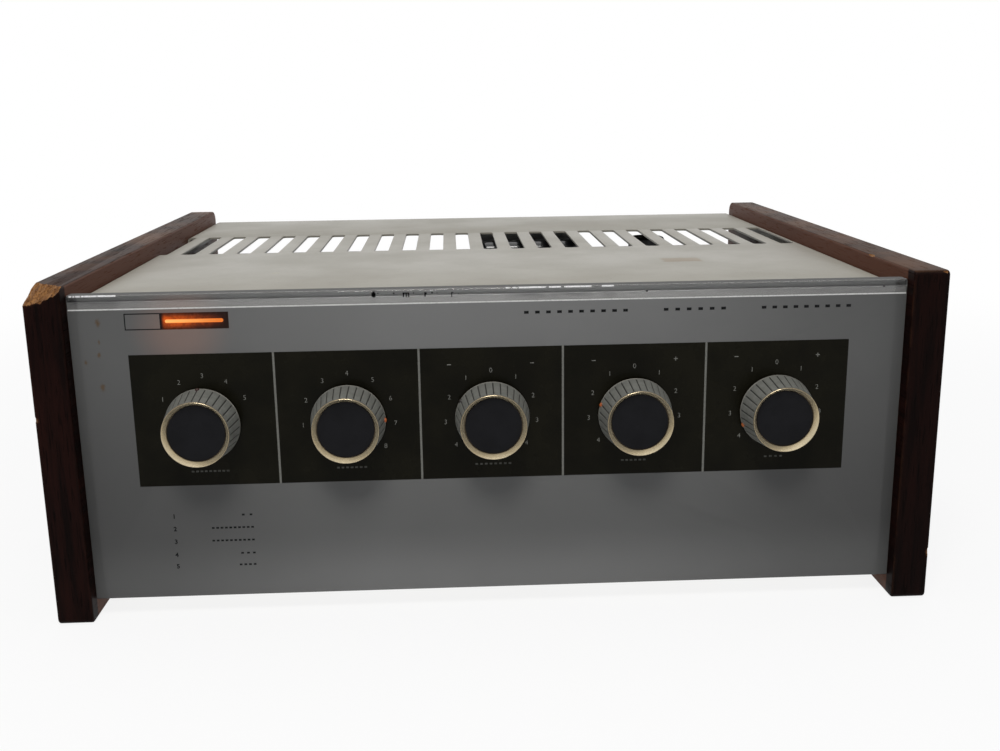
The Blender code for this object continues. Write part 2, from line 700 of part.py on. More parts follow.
def valves():
    for name, (x, y), height in valve_places():
        seat = CHASSIS_TOP + GAP
        turned(
            name + "_holder",
            [
                (0, HOLDER_FLANGE),
                (HOLDER_FLANGE_RADIUS, HOLDER_FLANGE),
                (HOLDER_FLANGE_RADIUS, 0),
                (HOLDER_RADIUS, 0),
                (HOLDER_RADIUS, -HOLDER_DEPTH),
                (0, -HOLDER_DEPTH),
            ],
            CREAM_CERAMIC,
            (x, y, seat),
            steps=12,
        )
        tip, crown = VALVE_RADIUS / 5, height - VALVE_RADIUS / 2
        dome = [
            (tip + (VALVE_RADIUS - tip) * math.sin(a), crown + (VALVE_RADIUS * 0.9) * (math.cos(a) - 1))
            for a in (RIGHT_ANGLE * k / 3 for k in range(4))
        ]
        profile = [(0, height), (tip / 2, height - tip / 2)] + dome
        profile += [(VALVE_RADIUS, tip), (VALVE_RADIUS - tip, 0), (0, 0)]
        turned(name, profile, VALVE_GLASS, (x, y, seat + HOLDER_FLANGE + GAP), steps=12)


def smoothing_capacitor():
    radius, roll = CAPACITOR_RADIUS, CAPACITOR_RADIUS / 10
    height = CASE_TOP - SHEET - CAPACITOR_HEADROOM - CHASSIS_TOP - GAP
    x = output_transformer_x(1) - OUTPUT_SIZE[0] / 2 - CAPACITOR_GAP - radius
    turned(
        "smoothing_capacitor",
        [
            (0, height - roll),
            (radius - 3 * roll, height - roll),
            (radius - 2 * roll, height),
            (radius - roll, height),
            (radius, height - roll),
            (radius, 5 * roll),
            (radius - roll, 4 * roll),
            (radius - roll, 3 * roll),
            (radius, 2 * roll),
            (radius, 0),
            (0, 0),
        ],
        BLACK_PLASTIC,
        (x, TRANSFORMER_Y, CHASSIS_TOP + GAP),
        steps=14,
    )


# Transformers: an upright E and I core, a coil round its middle limb, and end caps on the mains one
MAINS_X = 0.0335
MAINS_HEADROOM = 0.0041  # below the cover
MAINS_SIZE = (0.066, 0.034, CASE_TOP - SHEET - MAINS_HEADROOM - CHASSIS_TOP - GAP)  # width, stack, height
CAP_DEPTH = 0.0135
CAP_WALL = 0.001
CAP_RADIUS = 0.005
OUTPUT_INSETS = {-1: 0.0397, 1: 0.0307}  # middles in from the left and right sides
OUTPUT_SIZE = (0.054, 0.022, 0.046)
COIL_RADIUS = 0.004


def output_transformer_x(side):
    return side * (HALF_INSIDE - OUTPUT_INSETS[side])


def core_and_coil(prefix, x, size):
    """A lamination stack with two windows, and the coil that fills them round the middle limb."""
    width, stack, height = size
    limb = width / 6  # half of the middle limb, and the whole of each outer one
    bottom = CHASSIS_TOP + GAP
    y = TRANSFORMER_Y
    core = box(
        prefix + "_core", (x - width / 2, y - stack / 2, bottom), (x + width / 2, y + stack / 2, bottom + height), IRON
    )
    bm = bmesh.new()
    low, high = bottom + limb, bottom + height - limb
    for side in (-1, 1):
        inner, outer = sorted((x + side * limb, x + side * 2 * limb))
        cuboid(bm, (inner, y - stack / 2 - OVERRUN, low), (outer, y + stack / 2 + OVERRUN, high))
    combine(core, cutter(prefix + "_windows", bm))

    reach = stack / 2 + limb - GAP
    coil = box(
        prefix + "_coil",
        (x - 2 * limb + GAP, y - reach, low + GAP),
        (x + 2 * limb - GAP, y + reach, high - GAP),
        WINDING,
        corner=COIL_RADIUS,
        upright=2,
    )
    bm = bmesh.new()
    half = Vector((limb + GAP, stack / 2 + GAP, height))
    middle = Vector((x, y, bottom + height / 2))
    cuboid(bm, middle - half, middle + half)
    combine(coil, cutter(prefix + "_coil_bore", bm))


def end_cap(name, side):
    """Pressed cover over one face of the mains transformer, open towards the core."""
    x = MAINS_X
    width, stack, height = MAINS_SIZE
    core_face = TRANSFORMER_Y + side * (stack / 2 + GAP)
    bottom = CHASSIS_TOP + GAP
    near, far = sorted((core_face, core_face + side * CAP_DEPTH))
    bm = bmesh.new()
    cuboid(bm, (x - width / 2, near, bottom), (x + width / 2, far, bottom + height))
    bm.normal_update()
    bmesh.ops.delete(bm, geom=[f for f in bm.faces if f.normal.y * side < -0.5], context="FACES")
    folds = [e for e in bm.edges if len(e.link_faces) == 2]
    bmesh.ops.bevel(bm, geom=folds, offset=CAP_RADIUS, segments=2, affect="EDGES", profile=0.5)
    cap = add(name, mesh_from(bm, name), BLACK_ENAMEL)
    modifier = cap.modifiers.new("pressing", "SOLIDIFY")
    modifier.thickness = CAP_WALL
    modifier.offset = -1
    modifier.use_even_offset = True


def transformers():
    core_and_coil("mains_transformer", MAINS_X, MAINS_SIZE)
    end_cap("mains_transformer_front_cap", -1)
    end_cap("mains_transformer_rear_cap", 1)
    for word, side in (("left", -1), ("right", 1)):
        core_and_coil("output_transformer_" + word, output_transformer_x(side), OUTPUT_SIZE)


# What is fixed to the back panel: each piece passes through it
FITTING_INSET = 0.006  # row's ends in from the sides
FITTING_GAP = 0.004  # between neighbours
INPUT_COUNT = 8
INPUT_PITCH = 0.014
SPEAKER_COUNT = 4
SPEAKER_PITCH = 0.0095
PLATE_THICKNESS = 0.002
PLATE_HEIGHT = 0.022
PLATE_MARGIN = 0.007  # plate beyond its outer sockets' centres
APERTURE_HEIGHT = 0.013
SOCKET_RADIUS = 0.0041
SOCKET_BORE = 0.0016
SOCKET_REACH = 0.0068  # beyond its plate
SOCKET_TAIL = 0.009  # inside, from the plate's back
SCREW_RADIUS = 0.0031
SCREW_REACH = 0.0042
FUSE_RADIUS = 0.006
FUSE_LENGTH = 0.030
FUSE_CAP_RADIUS = 0.0085
SELECTOR_RADIUS = 0.0095
SELECTOR_FLANGE_RADIUS = 0.012
GROMMET_BORE = 0.0036
GROMMET_RADIUS = 0.0055
GROMMET_FLANGE_RADIUS = 0.0078
GROMMET_FLANGE = 0.0018
CAP_REACH = 0.006  # how far the fuse cap and the voltage plug stand out


def strip_half(count, pitch, margin):
    return (count - 1) * pitch / 2 + margin


def fitting_places():
    """Middles along X: the strip of inputs starts at the left, and the rest run in from the right."""
    speakers = strip_half(SPEAKER_COUNT, SPEAKER_PITCH, PLATE_MARGIN)
    inputs = strip_half(INPUT_COUNT, INPUT_PITCH, PLATE_MARGIN)
    places = {"input_socket_strip": FITTING_INSET + inputs - HALF_INSIDE}
    edge = HALF_INSIDE - FITTING_INSET
    for name, half in (
        ("mains_cord_grommet", GROMMET_FLANGE_RADIUS),
        ("voltage_selector", SELECTOR_FLANGE_RADIUS),
        ("fuse_holder", FUSE_CAP_RADIUS),
        ("speaker_terminals_right", speakers),
        ("speaker_terminals_left", speakers),
    ):
        places[name] = edge - half
        edge -= 2 * half + FITTING_GAP
    return places


def back_holes():
    """Cutters for the back panel's long and round holes."""
    bm = bmesh.new()
    at = fitting_places()
    near, far = REAR_PLATE_Y - SHEET - OVERRUN, REAR_PLATE_Y + OVERRUN
    speakers = strip_half(SPEAKER_COUNT, SPEAKER_PITCH, SCREW_RADIUS + GAP)
    for x, half in (
        (at["input_socket_strip"], strip_half(INPUT_COUNT, INPUT_PITCH, SOCKET_RADIUS + GAP)),
        (at["speaker_terminals_left"], speakers),
        (at["speaker_terminals_right"], speakers),
    ):
        cuboid(
            bm,
            (x - half, near, SOCKET_Z - APERTURE_HEIGHT / 2),
            (x + half, far, SOCKET_Z + APERTURE_HEIGHT / 2),
        )
    obj = cutter("back_apertures", bm)
    bm = bmesh.new()
    for name, radius in (
        ("fuse_holder", FUSE_RADIUS),
        ("voltage_selector", SELECTOR_RADIUS),
        ("mains_cord_grommet", GROMMET_RADIUS),
    ):
        rods(bm, [(at[name], -SOCKET_Z)], radius + GAP, near, far, sides=14)
    return obj, cutter("back_round_holes", bm, (0, 0, 0), BACKWARD)


def chassis_and_back():
    chassis = tray(
        "chassis",
        (-HALF_INSIDE, CHASSIS_FRONT_Y, BASE_TOP + GAP),
        (HALF_INSIDE, CHASSIS_BACK_Y, CHASSIS_TOP),
        ZINC,
        open_end=1,
    )
    middle_y, top = REAR_PLATE_Y - SHEET / 2, CASE_TOP - REAR_AIR_GAP - SHEET / 2
    section = rounded(
        [(middle_y, BASE_TOP + GAP), (middle_y, top), (middle_y - BACK_FOLD, top)],
        [0, FOLD_RADIUS, 0],
        3,
        closed=False,
    )
    back = folded_sheet("back_panel", section, HALF_INSIDE, GREY_PAINT)
    for holes in back_holes():
        combine(back, holes)
    bm = bmesh.new()
    places = [place for _, place, _ in valve_places()]
    rods(bm, places, HOLDER_RADIUS + GAP, CHASSIS_TOP - SHEET - OVERRUN, CHASSIS_TOP + OVERRUN)
    combine(chassis, cutter("valve_holes", bm))


def back_strip(name, x, count, pitch, radius, reach, tail, bore=0.0):
    """Paxolin plate on the back panel with a row of sockets or terminals through it."""
    half = strip_half(count, pitch, PLATE_MARGIN)
    near = REAR_PLATE_Y + GAP
    strip = box(
        name,
        (x - half, near, SOCKET_Z - PLATE_HEIGHT / 2),
        (x + half, near + PLATE_THICKNESS, SOCKET_Z + PLATE_HEIGHT / 2),
        PAXOLIN,
    )
    places = [((i - (count - 1) / 2) * pitch, 0) for i in range(count)]
    bm = bmesh.new()
    rods(bm, places, radius, -tail, PLATE_THICKNESS + reach, sides=8)
    combine(strip, cutter(name + "_posts", bm, (x, near, SOCKET_Z), BACKWARD), "UNION")
    if bore:
        bm = bmesh.new()
        rods(bm, places, bore, PLATE_THICKNESS - tail / 2, PLATE_THICKNESS + reach + OVERRUN, sides=6)
        combine(strip, cutter(name + "_bores", bm, (x, near, SOCKET_Z), BACKWARD))


def strips():
    at = fitting_places()
    name = "input_socket_strip"
    back_strip(name, at[name], INPUT_COUNT, INPUT_PITCH, SOCKET_RADIUS, SOCKET_REACH, SOCKET_TAIL, SOCKET_BORE)
    for name in ("speaker_terminals_left", "speaker_terminals_right"):
        back_strip(name, at[name], SPEAKER_COUNT, SPEAKER_PITCH, SCREW_RADIUS, SCREW_REACH, SOCKET_TAIL)


def round_fittings():
    at = fitting_places()
    near = REAR_PLATE_Y + GAP
    lip = PLATE_THICKNESS
    turned(
        "fuse_holder",
        [
            (0, CAP_REACH),
            (FUSE_RADIUS, CAP_REACH),
            (FUSE_RADIUS + lip / 2, CAP_REACH - lip / 2),
            (FUSE_RADIUS + lip / 2, lip),
            (FUSE_CAP_RADIUS, lip),
            (FUSE_CAP_RADIUS, 0),
            (FUSE_RADIUS, 0),
            (FUSE_RADIUS, CAP_REACH - FUSE_LENGTH),
            (0, CAP_REACH - FUSE_LENGTH),
        ],
        BLACK_PLASTIC,
        (at["fuse_holder"], near, SOCKET_Z),
        BACKWARD,
        steps=12,
    )
    plug = turned(
        "voltage_selector",
        [
            (0, CAP_REACH),
            (SELECTOR_RADIUS - lip, CAP_REACH),
            (SELECTOR_RADIUS - lip / 2, CAP_REACH - lip / 2),
            (SELECTOR_RADIUS - lip / 2, lip),
            (SELECTOR_FLANGE_RADIUS, lip),
            (SELECTOR_FLANGE_RADIUS, 0),
            (SELECTOR_RADIUS, 0),
            (SELECTOR_RADIUS, -SOCKET_TAIL),
            (0, -SOCKET_TAIL),
        ],
        BLACK_PLASTIC,
        (at["voltage_selector"], near, SOCKET_Z),
        BACKWARD,
        steps=14,
    )
    slot = Vector((SELECTOR_RADIUS / 2, SELECTOR_RADIUS / 12, lip))
    bm = bmesh.new()
    cuboid(bm, -slot, slot)
    combine(plug, cutter("voltage_selector_slot", bm, plug.location + Vector((0, CAP_REACH, 0)), BACKWARD))

    neck = GAP + SHEET + GAP
    turned(
        "mains_cord_grommet",
        [
            (GROMMET_BORE, GROMMET_FLANGE),
            (GROMMET_FLANGE_RADIUS - GROMMET_FLANGE / 2, GROMMET_FLANGE),
            (GROMMET_FLANGE_RADIUS, GROMMET_FLANGE / 2),
            (GROMMET_FLANGE_RADIUS, 0),
            (GROMMET_RADIUS, 0),
            (GROMMET_RADIUS, -neck),
            (GROMMET_FLANGE_RADIUS, -neck),
            (GROMMET_FLANGE_RADIUS, -neck - GROMMET_FLANGE),
            (GROMMET_BORE, -neck - GROMMET_FLANGE),
        ],
        RUBBER,
        (at["mains_cord_grommet"], near, SOCKET_Z),
        BACKWARD,
        steps=12,
        ring=True,
    )


# Component board, hung on posts below the chassis top
BOARD_SIZE = (0.220, 0.046)
BOARD_THICKNESS = 0.0018
BOARD_DROP = 0.0155  # board's top below the chassis sheet
POST_RADIUS = 0.003
COMPONENT_RADIUS = 0.0032
COMPONENT_LENGTH = 0.016
COMPONENT_COUNT = 7


def component_board():
    width, depth = BOARD_SIZE
    top = CHASSIS_TOP - SHEET - GAP - BOARD_DROP
    y = (PREAMP_VALVE_Y + OUTPUT_VALVE_Y) / 2
    board = box(
        "component_board",
        (-width / 2, y - depth / 2, top - BOARD_THICKNESS),
        (width / 2, y + depth / 2, top),
        PAXOLIN,
    )
    bm = bmesh.new()
    reach_x, reach_y = width / 2 - 2 * POST_RADIUS, depth / 2 - 2 * POST_RADIUS
    corners = [(side * reach_x, y + end * reach_y) for side in (-1, 1) for end in (-1, 1)]
    rods(bm, corners, POST_RADIUS, top - BOARD_THICKNESS / 2, CHASSIS_TOP - SHEET - GAP, sides=8)
    combine(board, cutter("board_posts", bm), "UNION")
    bm = bmesh.new()
    pitch = (width - 8 * POST_RADIUS) / COMPONENT_COUNT
    rows = [((i - (COMPONENT_COUNT - 1) / 2) * pitch, top + COMPONENT_RADIUS / 2) for i in range(COMPONENT_COUNT)]
    rods(bm, [(x, -z) for x, z in rows], COMPONENT_RADIUS, -COMPONENT_LENGTH / 2, COMPONENT_LENGTH / 2, sides=8)
    combine(board, cutter("board_components", bm, (0, y, 0), BACKWARD), "UNION")


def shade():
    """Smooth shading with sharp edges kept, on every piece."""
    for obj in PARTS.objects:
        if obj.type == "MESH" and obj.data.polygons:
            obj.data.shade_smooth()
            obj.data.set_sharp_from_angle(angle=math.radians(35))


side_panel("side_panel_left", -1)
side_panel("side_panel_right", 1)
top_cover()
front_panel()
fascia_window()
base_plate()
pilot_lamp()
controls()
chassis_and_back()
valves()
smoothing_capacitor()
transformers()
strips()
round_fittings()
component_board()
shade()
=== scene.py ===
"""Looks of an integrated valve amplifier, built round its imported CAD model.

Metres, in the CAD model's frame: +X is right, +Y is towards the back, +Z is up, and the side
panels stand on z = 0. The sections follow the amplifier as it is put together, from the chassis out.
"""

import json
import math

import bmesh
import bpy
from mathutils import Matrix, Vector
from mathutils.noise import noise as noise_at


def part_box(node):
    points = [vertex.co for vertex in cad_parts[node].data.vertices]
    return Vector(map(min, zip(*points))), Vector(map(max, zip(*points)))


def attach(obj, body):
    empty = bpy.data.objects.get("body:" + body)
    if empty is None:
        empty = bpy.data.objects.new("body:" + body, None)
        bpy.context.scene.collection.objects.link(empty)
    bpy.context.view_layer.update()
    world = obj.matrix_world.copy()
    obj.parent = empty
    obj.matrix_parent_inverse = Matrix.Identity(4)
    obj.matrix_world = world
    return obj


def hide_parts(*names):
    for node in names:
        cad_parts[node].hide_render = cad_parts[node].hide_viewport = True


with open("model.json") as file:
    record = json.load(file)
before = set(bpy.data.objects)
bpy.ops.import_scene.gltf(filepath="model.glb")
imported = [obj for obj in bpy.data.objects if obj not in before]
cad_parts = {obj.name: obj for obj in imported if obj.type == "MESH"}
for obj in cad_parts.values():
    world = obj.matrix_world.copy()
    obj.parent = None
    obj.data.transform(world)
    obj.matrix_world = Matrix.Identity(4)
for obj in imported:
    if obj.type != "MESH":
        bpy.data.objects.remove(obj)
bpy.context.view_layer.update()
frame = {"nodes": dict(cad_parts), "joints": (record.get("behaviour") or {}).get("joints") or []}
nodes = frame["nodes"]


# Chassis. A folded tray of thin steel, zinc plated and passivated to a faint straw colour. It hangs
# between the side panels and carries the valves and transformers on top and the wiring below.


def add_node(tree, kind, inputs=None, **settings):
    """One shader node. Each input takes a value, or another node's output to link to."""
    node = tree.nodes.new("ShaderNode" + kind)
    for name, value in settings.items():
        setattr(node, name, value)
    for name, value in (inputs or {}).items():
        if isinstance(value, bpy.types.NodeSocket):
            tree.links.new(value, node.inputs[name])
        else:
            node.inputs[name].default_value = value
    return node


def calculate(tree, operation, first, second=0.0, third=0.0):
    return add_node(tree, "Math", {0: first, 1: second, 2: third}, operation=operation).outputs[0]


def spread(tree, value, low, high, to_low=0.0, to_high=1.0):
    """Maps a value from low..high to to_low..to_high, smoothly and with its ends held."""
    limits = {"Value": value, "From Min": low, "From Max": high, "To Min": to_low, "To Max": to_high}
    return add_node(tree, "MapRange", limits, interpolation_type="SMOOTHSTEP").outputs["Result"]


def mix_colours(tree, share, first, second, blend="MIX"):
    """Second colour over the first, by its share. Colours are (r, g, b) or outputs."""
    colours = [c if isinstance(c, bpy.types.NodeSocket) else (*c, 1.0) for c in (first, second)]
    inputs = {0: share, 6: colours[0], 7: colours[1]}
    return add_node(tree, "Mix", inputs, data_type="RGBA", blend_type=blend).outputs[2]


def noise(tree, scale, detail=3.0, roughness=0.55, point=None, distortion=0.0):
    point = point or add_node(tree, "TexCoord").outputs["Object"]
    inputs = {"Vector": point, "Scale": scale, "Detail": detail, "Roughness": roughness, "Distortion": distortion}
    return add_node(tree, "TexNoise", inputs).outputs[0]


def bump(tree, height, distance, strength=1.0):
    return add_node(tree, "Bump", {"Height": height, "Distance": distance, "Strength": strength}).outputs["Normal"]


def start_group(name, inputs, outputs):
    """A shader node group with named float inputs and float outputs, for an effect that materials share."""
    tree = bpy.data.node_groups.new(name, "ShaderNodeTree")
    for label, default in inputs.items():
        socket = tree.interface.new_socket(name=label, in_out="INPUT", socket_type="NodeSocketFloat")
        socket.default_value = default
    for label in outputs:
        tree.interface.new_socket(name=label, in_out="OUTPUT", socket_type="NodeSocketFloat")
    return tree, tree.nodes.new("NodeGroupInput").outputs, tree.nodes.new("NodeGroupOutput").inputs


def use_group(tree, group, **values):
    """Places a group in a material; underscores in the names of its inputs stand for spaces."""
    node = tree.nodes.new("ShaderNodeGroup")
    node.node_tree = group
    for name, value in values.items():
        node.inputs[name.replace("_", " ")].default_value = value
    return node.outputs


# Wear along outer edges, where a rounded edge's normal leaves the surface's own
edge_rub, given, result = start_group("edge_rub", {"Width": 0.0006, "Patch Size": 0.01, "Amount": 1.0}, ["Mask"])
rounded_normal = add_node(edge_rub, "Bevel", {"Radius": given["Width"]}, samples=4).outputs[0]
surface_normal = add_node(edge_rub, "NewGeometry").outputs["Normal"]
match = add_node(edge_rub, "VectorMath", {0: rounded_normal, 1: surface_normal}, operation="DOT_PRODUCT").outputs["Value"]
turn_away = spread(edge_rub, calculate(edge_rub, "SUBTRACT", 1.0, match), 0.01, 0.12)
patches = spread(edge_rub, noise(edge_rub, calculate(edge_rub, "DIVIDE", 1.0, given["Patch Size"])), 0.42, 0.62)
rubbed = calculate(edge_rub, "MULTIPLY", calculate(edge_rub, "MULTIPLY", turn_away, patches), given["Amount"])
edge_rub.links.new(rubbed, result["Mask"])

# Dust that has settled on what faces up
settled_dust, given, result = start_group("settled_dust", {"Amount": 0.5, "Patch Size": 0.03}, ["Mask"])
lift = add_node(settled_dust, "SeparateXYZ", {0: add_node(settled_dust, "NewGeometry").outputs["Normal"]}).outputs["Z"]
facing_up = spread(settled_dust, lift, 0.5, 1.0)
drift = spread(settled_dust, noise(settled_dust, calculate(settled_dust, "DIVIDE", 1.0, given["Patch Size"]), 5), 0.3, 0.75)
dusted = calculate(settled_dust, "MULTIPLY", calculate(settled_dust, "MULTIPLY", facing_up, drift), given["Amount"])
settled_dust.links.new(dusted, result["Mask"])

# Smears and stains of age: broad cloudy patches, and fine speckle
ageing, given, result = start_group("ageing", {"Patch Size": 0.04, "Speckle Size": 0.002}, ["Patches", "Speckle"])
patches = spread(ageing, noise(ageing, calculate(ageing, "DIVIDE", 1.0, given["Patch Size"]), 6), 0.3, 0.7)
speckle = spread(ageing, noise(ageing, calculate(ageing, "DIVIDE", 1.0, given["Speckle Size"]), 2), 0.6, 0.75)
ageing.links.new(patches, result["Patches"])
ageing.links.new(speckle, result["Speckle"])


def new_material(name, values):
    """A material, its node tree and its Principled shader, which holds the values that are the same all over."""
    material = bpy.data.materials.new(name)
    material.use_nodes = True
    shader = material.node_tree.nodes["Principled BSDF"]
    for socket, value in values.items():
        shader.inputs[socket].default_value = value
    return material, material.node_tree, shader


def feed(tree, shader, **outputs):
    """Links outputs to the shader; underscores in the names of its inputs stand for spaces."""
    for name, output in outputs.items():
        tree.links.new(output, shader.inputs[name.replace("_", " ")])


def plated_steel(name, colour, darker_tone, dust):
    """Thin plating on sheet steel: cloudy tarnish, fine rolling marks and dust on top."""
    material, tree, shader = new_material(name, {"Metallic": 1.0})
    age = use_group(tree, ageing, Patch_Size=0.035, Speckle_Size=0.0012)
    dusty = use_group(tree, settled_dust, Amount=dust, Patch_Size=0.02)["Mask"]
    metal = mix_colours(tree, age["Patches"], colour, darker_tone)
    metal = mix_colours(tree, calculate(tree, "MULTIPLY", age["Speckle"], 0.5), metal, darker_tone)
    feed(
        tree,
        shader,
        Base_Color=mix_colours(tree, dusty, metal, (0.16, 0.15, 0.13)),
        Roughness=calculate(tree, "ADD", spread(tree, age["Patches"], 0, 1, 0.3, 0.5), calculate(tree, "MULTIPLY", dusty, 0.4)),
        Metallic=calculate(tree, "SUBTRACT", 1.0, dusty),
        Normal=bump(tree, noise(tree, 1400), 0.00003, 0.4),
    )
    return material


def finish_nodes(material, *names):
    """Gives CAD nodes that stay in view their finish."""
    for name in names:
        nodes[name].data.materials.clear()
        nodes[name].data.materials.append(material)


zinc_plate = plated_steel("zinc_plate", (0.52, 0.5, 0.44), (0.34, 0.31, 0.24), dust=0.6)
finish_nodes(zinc_plate, "chassis")


# Component board. A strip of brown paxolin on four posts below the chassis.

COMPONENT_STEP = 0.028
BAND_COLOURS = ((0.45, 0.08, 0.02), (0.5, 0.3, 0.03), (0.05, 0.09, 0.3))


def laminate(name, colour, dark):
    """Resin-bonded paper: a close fleck under a thin varnish."""
    material, tree, shader = new_material(name, {"Coat Weight": 0.4, "Coat Roughness": 0.2})
    point = add_node(tree, "TexCoord").outputs["Object"]
    stretched = add_node(tree, "VectorMath", {0: point, 1: (1.0, 5.0, 5.0)}, operation="MULTIPLY").outputs[0]
    fibre = noise(tree, 260, 5, 0.7, stretched)
    age = use_group(tree, ageing, Patch_Size=0.03)
    brown = mix_colours(tree, fibre, colour, dark)
    feed(
        tree,
        shader,
        Base_Color=mix_colours(tree, calculate(tree, "MULTIPLY", age["Patches"], 0.4), brown, dark),
        Roughness=spread(tree, fibre, 0.3, 0.7, 0.42, 0.6),
        Normal=bump(tree, fibre, 0.00004, 0.5),
    )
    return material


paxolin = laminate("paxolin", (0.26, 0.12, 0.05), (0.13, 0.055, 0.025))
finish_nodes(paxolin, "component_board")


# Mains transformer. A stack of varnished iron laminations with its coil in two windows, closed at
# front and back by pressed steel covers in gloss black enamel, drawn together by four bolts.

LAMINATION = 0.0005
COVER_DEPTH = 0.0135
COVER_WALL = 0.001
COVER_CORNER = 0.005
BOLT_INSET = 0.0075
BOLT_RADIUS = 0.0034
BOLT_HEIGHT = 0.0022


def stacked_iron(name):
    """Edges of thin iron sheets stacked along Y, brushed over with dark varnish."""
    material, tree, shader = new_material(name, {"Coat Weight": 0.3, "Coat Roughness": 0.3})
    depth = add_node(tree, "SeparateXYZ", {0: add_node(tree, "TexCoord").outputs["Object"]}).outputs["Y"]
    wave = calculate(tree, "SINE", calculate(tree, "MULTIPLY", depth, 2 * math.pi / LAMINATION))
    sheets = spread(tree, wave, -1, 1)
    bare = calculate(tree, "MULTIPLY", sheets, spread(tree, noise(tree, 90, 4), 0.5, 0.75))
    feed(
        tree,
        shader,
        Base_Color=mix_colours(tree, bare, (0.012, 0.012, 0.014), (0.09, 0.075, 0.06)),
        Metallic=spread(tree, bare, 0, 1, 0.0, 0.6),
        Roughness=spread(tree, bare, 0, 1, 0.35, 0.6),
        Normal=bump(tree, sheets, 0.0001, 0.5),
    )
    return material


def wound_paper(name):
    """Layers of winding paper soaked in varnish, with the wires' ridges faintly showing."""
    material, tree, shader = new_material(name, {"Coat Weight": 0.5, "Coat Roughness": 0.25})
    height = add_node(tree, "SeparateXYZ", {0: add_node(tree, "TexCoord").outputs["Object"]}).outputs["Z"]
    turns = spread(tree, calculate(tree, "SINE", calculate(tree, "MULTIPLY", height, 2 * math.pi / 0.0009)), -1, 1)
    soaked = noise(tree, 70, 5)
    feed(
        tree,
        shader,
        Base_Color=mix_colours(tree, soaked, (0.3, 0.19, 0.07), (0.09, 0.045, 0.018)),
        Roughness=spread(tree, soaked, 0.3, 0.7, 0.4, 0.65),
        Normal=bump(tree, turns, 0.00012, 0.6),
    )
    return material


def enamel(name, colour, dust):
    """Stoved gloss enamel with orange peel, dust, and bare metal on rubbed edges."""
    material, tree, shader = new_material(name, {"Coat Weight": 0.25, "Coat Roughness": 0.2})
    rub = use_group(tree, edge_rub, Width=0.0006, Patch_Size=0.006, Amount=0.7)["Mask"]
    dusty = use_group(tree, settled_dust, Amount=dust, Patch_Size=0.015)["Mask"]
    painted = mix_colours(tree, noise(tree, 60), colour, tuple(c * 1.5 for c in colour))
    feed(
        tree,
        shader,
        Base_Color=mix_colours(tree, rub, mix_colours(tree, dusty, painted, (0.12, 0.115, 0.1)), (0.3, 0.29, 0.27)),
        Metallic=rub,
        Roughness=calculate(tree, "ADD", 0.18, calculate(tree, "MULTIPLY", dusty, 0.6)),
        Normal=bump(tree, noise(tree, 500, 1), 0.00004, 0.5),
    )
    return material


lamination_iron = stacked_iron("lamination_iron")
winding = wound_paper("winding")
black_enamel = enamel("black_enamel", (0.006, 0.0065, 0.008), dust=0.12)
nickel_plate = plated_steel("nickel_plate", (0.6, 0.57, 0.5), (0.42, 0.38, 0.3), dust=0.1)
finish_nodes(lamination_iron, "mains_transformer_core")
finish_nodes(winding, "mains_transformer_coil")


def cuboid(bm, low, high, corner=0.0, upright=2, steps=5):
    """Adds a box to bm, with the edges along axis number upright rounded if it has a corner radius."""
    size, middle = Vector(high) - Vector(low), (Vector(high) + Vector(low)) / 2
    made = bmesh.ops.create_cube(bm, size=1.0, matrix=Matrix.Translation(middle) @ Matrix.Diagonal((*size, 1)))
    if corner:
        edges = {edge for vert in made["verts"] for edge in vert.link_edges}
        along = [e for e in edges if abs((e.verts[0].co - e.verts[1].co)[upright]) > 0.5 * size[upright]]
        bmesh.ops.bevel(bm, geom=along, offset=corner, segments=steps, affect="EDGES", profile=0.5)


def mesh_from(bm, name, sharp=35):
    """The finished mesh, smooth but for edges sharper than the angle."""
    bmesh.ops.recalc_face_normals(bm, faces=bm.faces)
    mesh = bpy.data.meshes.new(name)
    bm.to_mesh(mesh)
    bm.free()
    mesh.shade_smooth()
    mesh.set_sharp_from_angle(angle=math.radians(sharp))
    return mesh


def add_piece(name, mesh, materials, body="case", place=(0, 0, 0), turn=(0, 0, 0), replaces=()):
    """Puts a piece in its place, riding on its body."""
    piece = bpy.data.objects.new(name, mesh)
    if not mesh.materials:
        for material in materials:
            mesh.materials.append(material)
    bpy.context.scene.collection.objects.link(piece)
    piece.location = place
    piece.rotation_euler = turn
    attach(piece, body)
    if replaces:
        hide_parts(*replaces)
    return piece


def add_modifier(piece, kind, **settings):
    modifier = piece.modifiers.new(kind.lower(), kind)
    for name, value in settings.items():
        setattr(modifier, name, value)
    return modifier


def settle(piece, sharp=35):
    """Applies the piece's modifiers to its mesh."""
    bpy.context.view_layer.update()
    mesh = bpy.data.meshes.new_from_object(piece.evaluated_get(bpy.context.evaluated_depsgraph_get()))
    piece.modifiers.clear()
    piece.data = mesh
    mesh.shade_smooth()
    mesh.set_sharp_from_angle(angle=math.radians(sharp))
    return mesh


